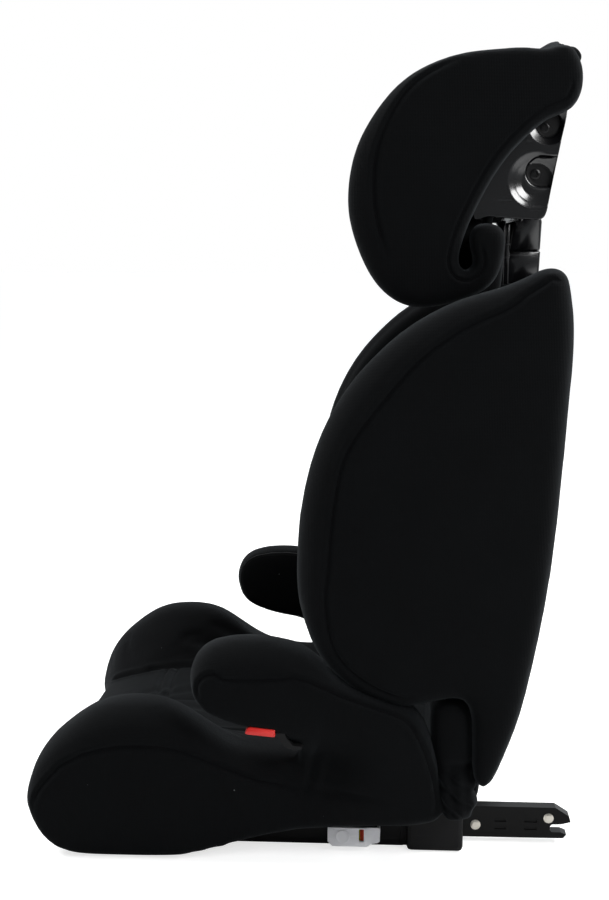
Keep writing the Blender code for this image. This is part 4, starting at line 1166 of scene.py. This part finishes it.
SHELL_HALF, SHELL_LOW, SHELL_HIGH, SHELL_FRONT, SHELL_REAR = 0.1645, 0.031, 0.4125, 0.0262, 0.0405
CORNER = 0.03
RIB_PITCH = 0.030


def stations(low, high, count):
    """Places from low to high that lie closer together at both ends."""
    fine = np.array([0.0, 0.0001, 0.0004, 0.0009, 0.0016, 0.0026])
    return np.concatenate((low + fine, np.linspace(low + 0.004, high - 0.004, count), high - fine[::-1]))


def shell_depth(x, u):
    """How far back the shell's rear face lies."""
    beyond_x = abs(x) - SHELL_HALF + CORNER
    beyond_u = max(0.0, SHELL_LOW + CORNER - u, u - SHELL_HIGH + CORNER)
    rim = CORNER - math.hypot(max(0.0, beyond_x), beyond_u)
    rear = SHELL_REAR - 0.0105 * float(ease((u - 0.320) / 0.092))
    edge = math.sqrt(max(0.0, 1 - max(0.0, 1 - rim / 0.004) ** 2))
    inner = min(SHELL_HALF - abs(x), u - SHELL_LOW, SHELL_HIGH - u)
    crowned = 0.0026 * (1 - (x / SHELL_HALF) ** 2) * float(ease((inner - 0.012) / 0.04))
    field = -0.0016 * float(ease((inner - 0.012) / 0.004)) + crowned
    rib = max(0.0, math.cos(x / RIB_PITCH * math.pi)) ** 8 if abs(x) < 0.135 else 0.0
    clear = float(ease((abs(u - 0.215) - 0.052) / 0.006)) if abs(x) < 0.075 else 1.0
    field += 0.0015 * rib * clear * float(ease((inner - 0.026) / 0.006))
    return SHELL_FRONT + (rear - SHELL_FRONT) * edge + field


build = bmesh.new()
grid = [[build.verts.new(on_back(x, shell_depth(x, u), u)) for x in stations(-SHELL_HALF, SHELL_HALF, 160)]
        for u in stations(SHELL_LOW, SHELL_HIGH, 180)]
for one, other in zip(grid, grid[1:]):
    for i in range(len(one) - 1):
        build.faces.new((one[i], one[i + 1], other[i + 1], other[i]))
rim = grid[0] + [row[-1] for row in grid[1:]] + grid[-1][-2::-1] + [row[0] for row in grid[-2:0:-1]]
build.faces.new(rim)
back_shell = object_of("moulded_back", build)
lug_outline = [(0.0125 * math.sin(a), -0.0125 * math.cos(a)) for a in np.linspace(-1.7, 1.3, 14)]
lug_outline += [(0.0380, 0.036), (0.0380, 0.075), (0.0265, 0.075), (0.0265, 0.050)]
lug = rounded_block("lug", [tuple(on_back(0, v, u))[1:] for v, u in lug_outline], 0.1182, 0.1338, 0.0012)
back_shell = joined("moulded_back", [back_shell, mirrored(lug, "other_lug"), lug])
back_shell.data.set_sharp_from_angle(angle=math.radians(50))
placed(back_shell, "backrest", "matt_black_plastic", MATT_BLACK)
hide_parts("back_shell")

# ------------------------------------------------------------------ headrest cushion and crown
# The head rests on a padded panel with one long channel on each side, and linings close it to the shell.
# A roll of the same knit runs over the top edge of the shell from wing to wing, highest in the middle.

head_cushion = cushion("head_cushion", 0.1180, 0.018, 0.424, 0.592, -0.058, 0.012, 0.003)


def head_cushion_held(points):
    return behind_axis(points) > -0.043


stuffed(head_cushion, head_cushion_held, 0.006, fill=0.0)
head_seams = []
for side in (-1, 1):
    channel = [on_back(side * (0.058 + 0.010 * math.sin(math.pi * t)), -0.08, 0.434 + 0.154 * t)
               for t in np.linspace(0, 1, 18)]
    head_seams.append(sewn(head_cushion, channel, depth=0.004, width=0.004, finer=1))
placed(head_cushion, "headrest", "black_fabric", BLACK_KNIT)
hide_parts("head_pad")
# Dark tubes of painted shade lie in the channels' valleys.
for i, valley in enumerate(head_seams):
    seam = shade_tube_along(f"head_seam_{i + 1}", valley, SHADE_TUBE_RADIUS)
    placed(seam, "headrest", "black_fabric", SEAM_SHADE)

LINING = [(0.182, 0.478, 0.004), (0.182, 0.5430, 0.005), (0.202, 0.5425, 0.006), (0.2125, 0.5360, 0.007),
          (0.2135, 0.510, 0.006), (0.2080, 0.478, 0.005)]
SLOT_WALL = [(0.160, 0.496, 0.003), (0.159, 0.530, 0.003), (0.166, 0.5465, 0.003), (0.192, 0.5465, 0.003),
             (0.198, 0.520, 0.003), (0.192, 0.494, 0.003)]
lining, _, _ = rolled_panel("head_lining", LINING, 0.044, 0.105, 0.1115, 0.003)
stuffed(lining, lambda points: points[:, 0] < 0.050, 0.002, voxel=0.0035, fill=0.0)
slot_wall, _, _ = rolled_panel("slot_wall", SLOT_WALL, 0.1085, 0.112, 0.1150, 0.002)
for piece in (*pair(lining, "head_lining", "headrest", "black_fabric", BLACK_KNIT),
              *pair(slot_wall, "slot_wall", "headrest", "black_fabric", BLACK_KNIT)):
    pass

CROWN = [(0.208, 0.660), (0.2055, 0.676), (0.2150, 0.6845), (0.2320, 0.6880), (0.2480, 0.6925),
         (0.2600, 0.6990), (0.2690, 0.6985), (0.2735, 0.6905), (0.2725, 0.6780), (0.2660, 0.6695),
         (0.2480, 0.6690), (0.2280, 0.6620)]
rings = []
for x in np.linspace(-0.132, 0.132, 45):
    lift = 0.0200 * math.exp(-(x / 0.055) ** 2) - 0.0120
    ring = smooth_loop(CROWN, 4)
    rise = ease((ring[:, 1] - 0.672) / 0.024)
    rings.append([(x, y, z + lift * r) for (y, z), r in zip(ring, rise)])
crown = lofted("head_crown_padded", rings)


def crown_held(points):
    return (points[:, 2] < 0.672) | (np.abs(points[:, 0]) > 0.126)


stuffed(crown, crown_held, 0.002, voxel=0.003, fill=0.0006)
crest_line = [Vector((x, 0.2715, 0.7145)) for x in np.linspace(-0.118, 0.118, 30)]
crest_valley = sewn(crown, crest_line, depth=0.0014, width=0.0018, fade=0.05)
placed(crown, "headrest", "black_fabric", BLACK_KNIT)
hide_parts("head_crown")
# A dark tube of painted shade lies in the crest seam's valley.
crest_shade_tube = shade_tube_along("crown_seam", crest_valley, SHADE_TUBE_RADIUS)
placed(crest_shade_tube, "headrest", "black_fabric", SEAM_SHADE)

# ------------------------------------------------------------------ headrest shell
# Polished black moulding: a back plate between two side flanges. Each flange has two round dished recesses
# with a stepped ring round the screw, and softly rounded edges that catch the light.

FLANGE = [(0.1850, 0.5500, 0.002), (0.2000, 0.5478, 0.002), (0.2170, 0.5462, 0.002), (0.2360, 0.5452, 0.002),
          (0.2440, 0.5460, 0.002), (0.2478, 0.5520, 0.002), (0.2505, 0.5667, 0.002), (0.2550, 0.5910, 0.002),
          (0.2590, 0.6120, 0.002), (0.2632, 0.6360, 0.002), (0.2630, 0.6675, 0.002), (0.235, 0.6710, 0.002),
          (0.205, 0.6545, 0.002), (0.189, 0.610, 0.002)]
FLANGE_INNER, FLANGE_OUTER = 0.1140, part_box("head_shell")[1].x
flange, _, _ = rolled_panel("flange", FLANGE, FLANGE_INNER, FLANGE_OUTER - 0.0016, FLANGE_OUTER, 0.0012)
even = flange.modifiers.new("Remesh", "REMESH")
even.mode = "VOXEL"
even.voxel_size = 0.0007
settled(flange)


def lower_dish(y, z):
    """Depth of the larger recess: two sloping terraces round an eye that opens towards the rear edge."""
    out = np.hypot(y - 0.2385, z - 0.5777)
    depth = 0.0021 * np.clip((0.0238 - out) / 0.0052, 0, 1) + 0.0006 * ease((0.0178 - out) / 0.0010)
    depth += 0.0018 * np.clip((0.0168 - out) / 0.0046, 0, 1)
    eye = np.hypot(np.minimum(y - 0.2425, 0.0), z - 0.5855)
    return depth + 0.0028 * ease((0.0128 - eye) / 0.0010) - 0.0004 * bell(eye, 0.0137, 0.0006)


def upper_dish(y, z):
    """Depth of the smaller recess: one wide sloping shoulder round an open eye."""
    out = np.hypot(y - 0.2482, z - 0.6245)
    return 0.0026 * np.clip((0.0176 - out) / 0.0062, 0, 1) + 0.0040 * ease((0.0110 - out) / 0.0010)


def flange_face(points):
    """The flange's outer face, crowned a little, with both recesses."""
    x, y, z = points.T
    outside = x > FLANGE_OUTER - 0.0014
    crown_of = 0.0006 * bell(y, 0.215, 0.03) * bell(z, 0.590, 0.06)
    depth = np.maximum(lower_dish(y, z), upper_dish(y, z))
    points[outside, 0] = (FLANGE_OUTER - 0.0006 + crown_of - depth)[outside]
    return points


put_points(flange.data, flange_face(points_of(flange.data)))
polish = flange.modifiers.new("Smooth", "SMOOTH")
polish.iterations = 5
settled(flange)
flange.data.shade_smooth()
plate_rings = []
for x in np.linspace(-0.1165, 0.1165, 60):
    channel = 0.0035 * float(ease((abs(abs(x) - 0.062) - 0.012) / 0.006))
    channel *= float(ease((0.108 - abs(x)) / 0.008))
    v_front, v_rear = -0.0195, -0.0165 + channel * 0.6
    plate_rings.append([on_back(x, v, u) for v, u in
                        ((v_front, 0.476), (v_front, 0.612), (v_rear - 0.001, 0.6138), (v_rear, 0.6125),
                         (v_rear, 0.560), (v_rear, 0.500), (v_rear, 0.4765), (v_rear - 0.001, 0.4745))])
plate = lofted("plate", plate_rings)
head_shell = joined("head_shell_polished", [flange, mirrored(flange, "other_flange"), plate])
placed(head_shell, "headrest", "gloss_black_plastic", GLOSS_BLACK, MATT_BLACK)
for face in head_shell.data.polygons:
    x, y, z = face.center
    sunk = max(lower_dish(y, z), upper_dish(y, z)) > 0.0062
    face.material_index = int(sunk and FLANGE_OUTER - 0.0095 < abs(x) < FLANGE_OUTER - 0.0025)
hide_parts("head_shell")

# ------------------------------------------------------------------ shell screws
# Round steel heads with a six-lobed socket, sunk in the recesses: two screws on each side hold the shell to
# the frames inside the head wings.

EYE_FLOOR = FLANGE_OUTER - 0.0080
STAR_POINTS = 36


def screw(name, middle, radius):
    made = disc(name, middle, radius, EYE_FLOOR - 0.001, EYE_FLOOR + 0.0013,
                [(1.0, 0.0), (1.0, 0.45), (0.93, 0.80), (0.75, 0.97), (0.55, 1.0), (0, 1.0)])
    star = bmesh.new()
    outer = []
    for a in np.linspace(0, 2 * math.pi, STAR_POINTS, endpoint=False):
        r = (0.52 + 0.12 * math.cos(6 * a)) * radius
        rim = (middle[0] + r * math.cos(a), middle[1] + r * math.sin(a))
        outer.append(star.verts.new((EYE_FLOOR + 0.01, *rim)))
    inner = [star.verts.new((EYE_FLOOR + 0.0003, v.co.y, v.co.z)) for v in outer]
    star.faces.new(outer)
    star.faces.new(inner)
    walls(star, (outer, inner))
    return cut(made, object_of("star_tool", star))


for label, middle in (("lower", (0.2380, 0.5835)), ("upper", (0.2450, 0.622))):
    pair(screw(f"{label}_screw", middle, 0.0046), f"{label}_screw", "headrest", "black_steel", SATIN_BLACK,
         nodes=(f"shell_screw_{label}",))

# ------------------------------------------------------------------ stalk and height handle
# The stalk is polished plastic: a slim tongue that slides in the back's channel, and above it a deep block
# in two steps with rails in front of it. The squeeze handle sits behind the shell.

STALK_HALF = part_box("head_stalk")[1].x


def slab(name, half, outline, bevel):
    return rounded_block(name, outline, -half, half, bevel)


TONGUE = [tuple(on_back(0, v, u))[1:] for v, u in oblong(-0.0058, 0.0143, 0.231, 0.424)]
LOWER_BLOCK = [(0.2195, 0.4890), (0.2500, 0.4890), (0.2515, 0.5195), (0.2205, 0.5195)]
UPPER_BLOCK = [(0.2222, 0.5180), (0.2508, 0.5180), (0.2522, 0.5450), (0.2450, 0.5700), (0.2300, 0.5700)]
RAIL = [(0.2150, 0.4882), (0.2183, 0.4882), (0.2196, 0.5460), (0.2163, 0.5460)]
OUTER_RAIL = [(0.2183, 0.4882), (0.2230, 0.4882), (0.2243, 0.5440), (0.2196, 0.5440)]
NECK = [(0.2155, 0.4878), (0.2488, 0.4878), (0.2500, 0.500), (0.2200, 0.500)]
stalk = joined("head_stalk_moulded", [slab("tongue", STALK_HALF - 0.0005, TONGUE, 0.0012),
                                      slab("lower_block", STALK_HALF, LOWER_BLOCK, 0.0022),
                                      slab("upper_block", STALK_HALF + 0.003, UPPER_BLOCK, 0.0030),
                                      slab("rail", STALK_HALF + 0.004, RAIL, 0.0008),
                                      slab("outer_rail", STALK_HALF + 0.0015, OUTER_RAIL, 0.0012),
                                      slab("neck", STALK_HALF - 0.008, NECK, 0.001)])
stalk.data.set_sharp_from_angle(angle=math.radians(50))
placed(stalk, "headrest", "gloss_black_plastic", GLOSS_BLACK)
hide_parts("head_stalk")
dressed(SATIN_BLACK, "matt_black_plastic", "height_handle")
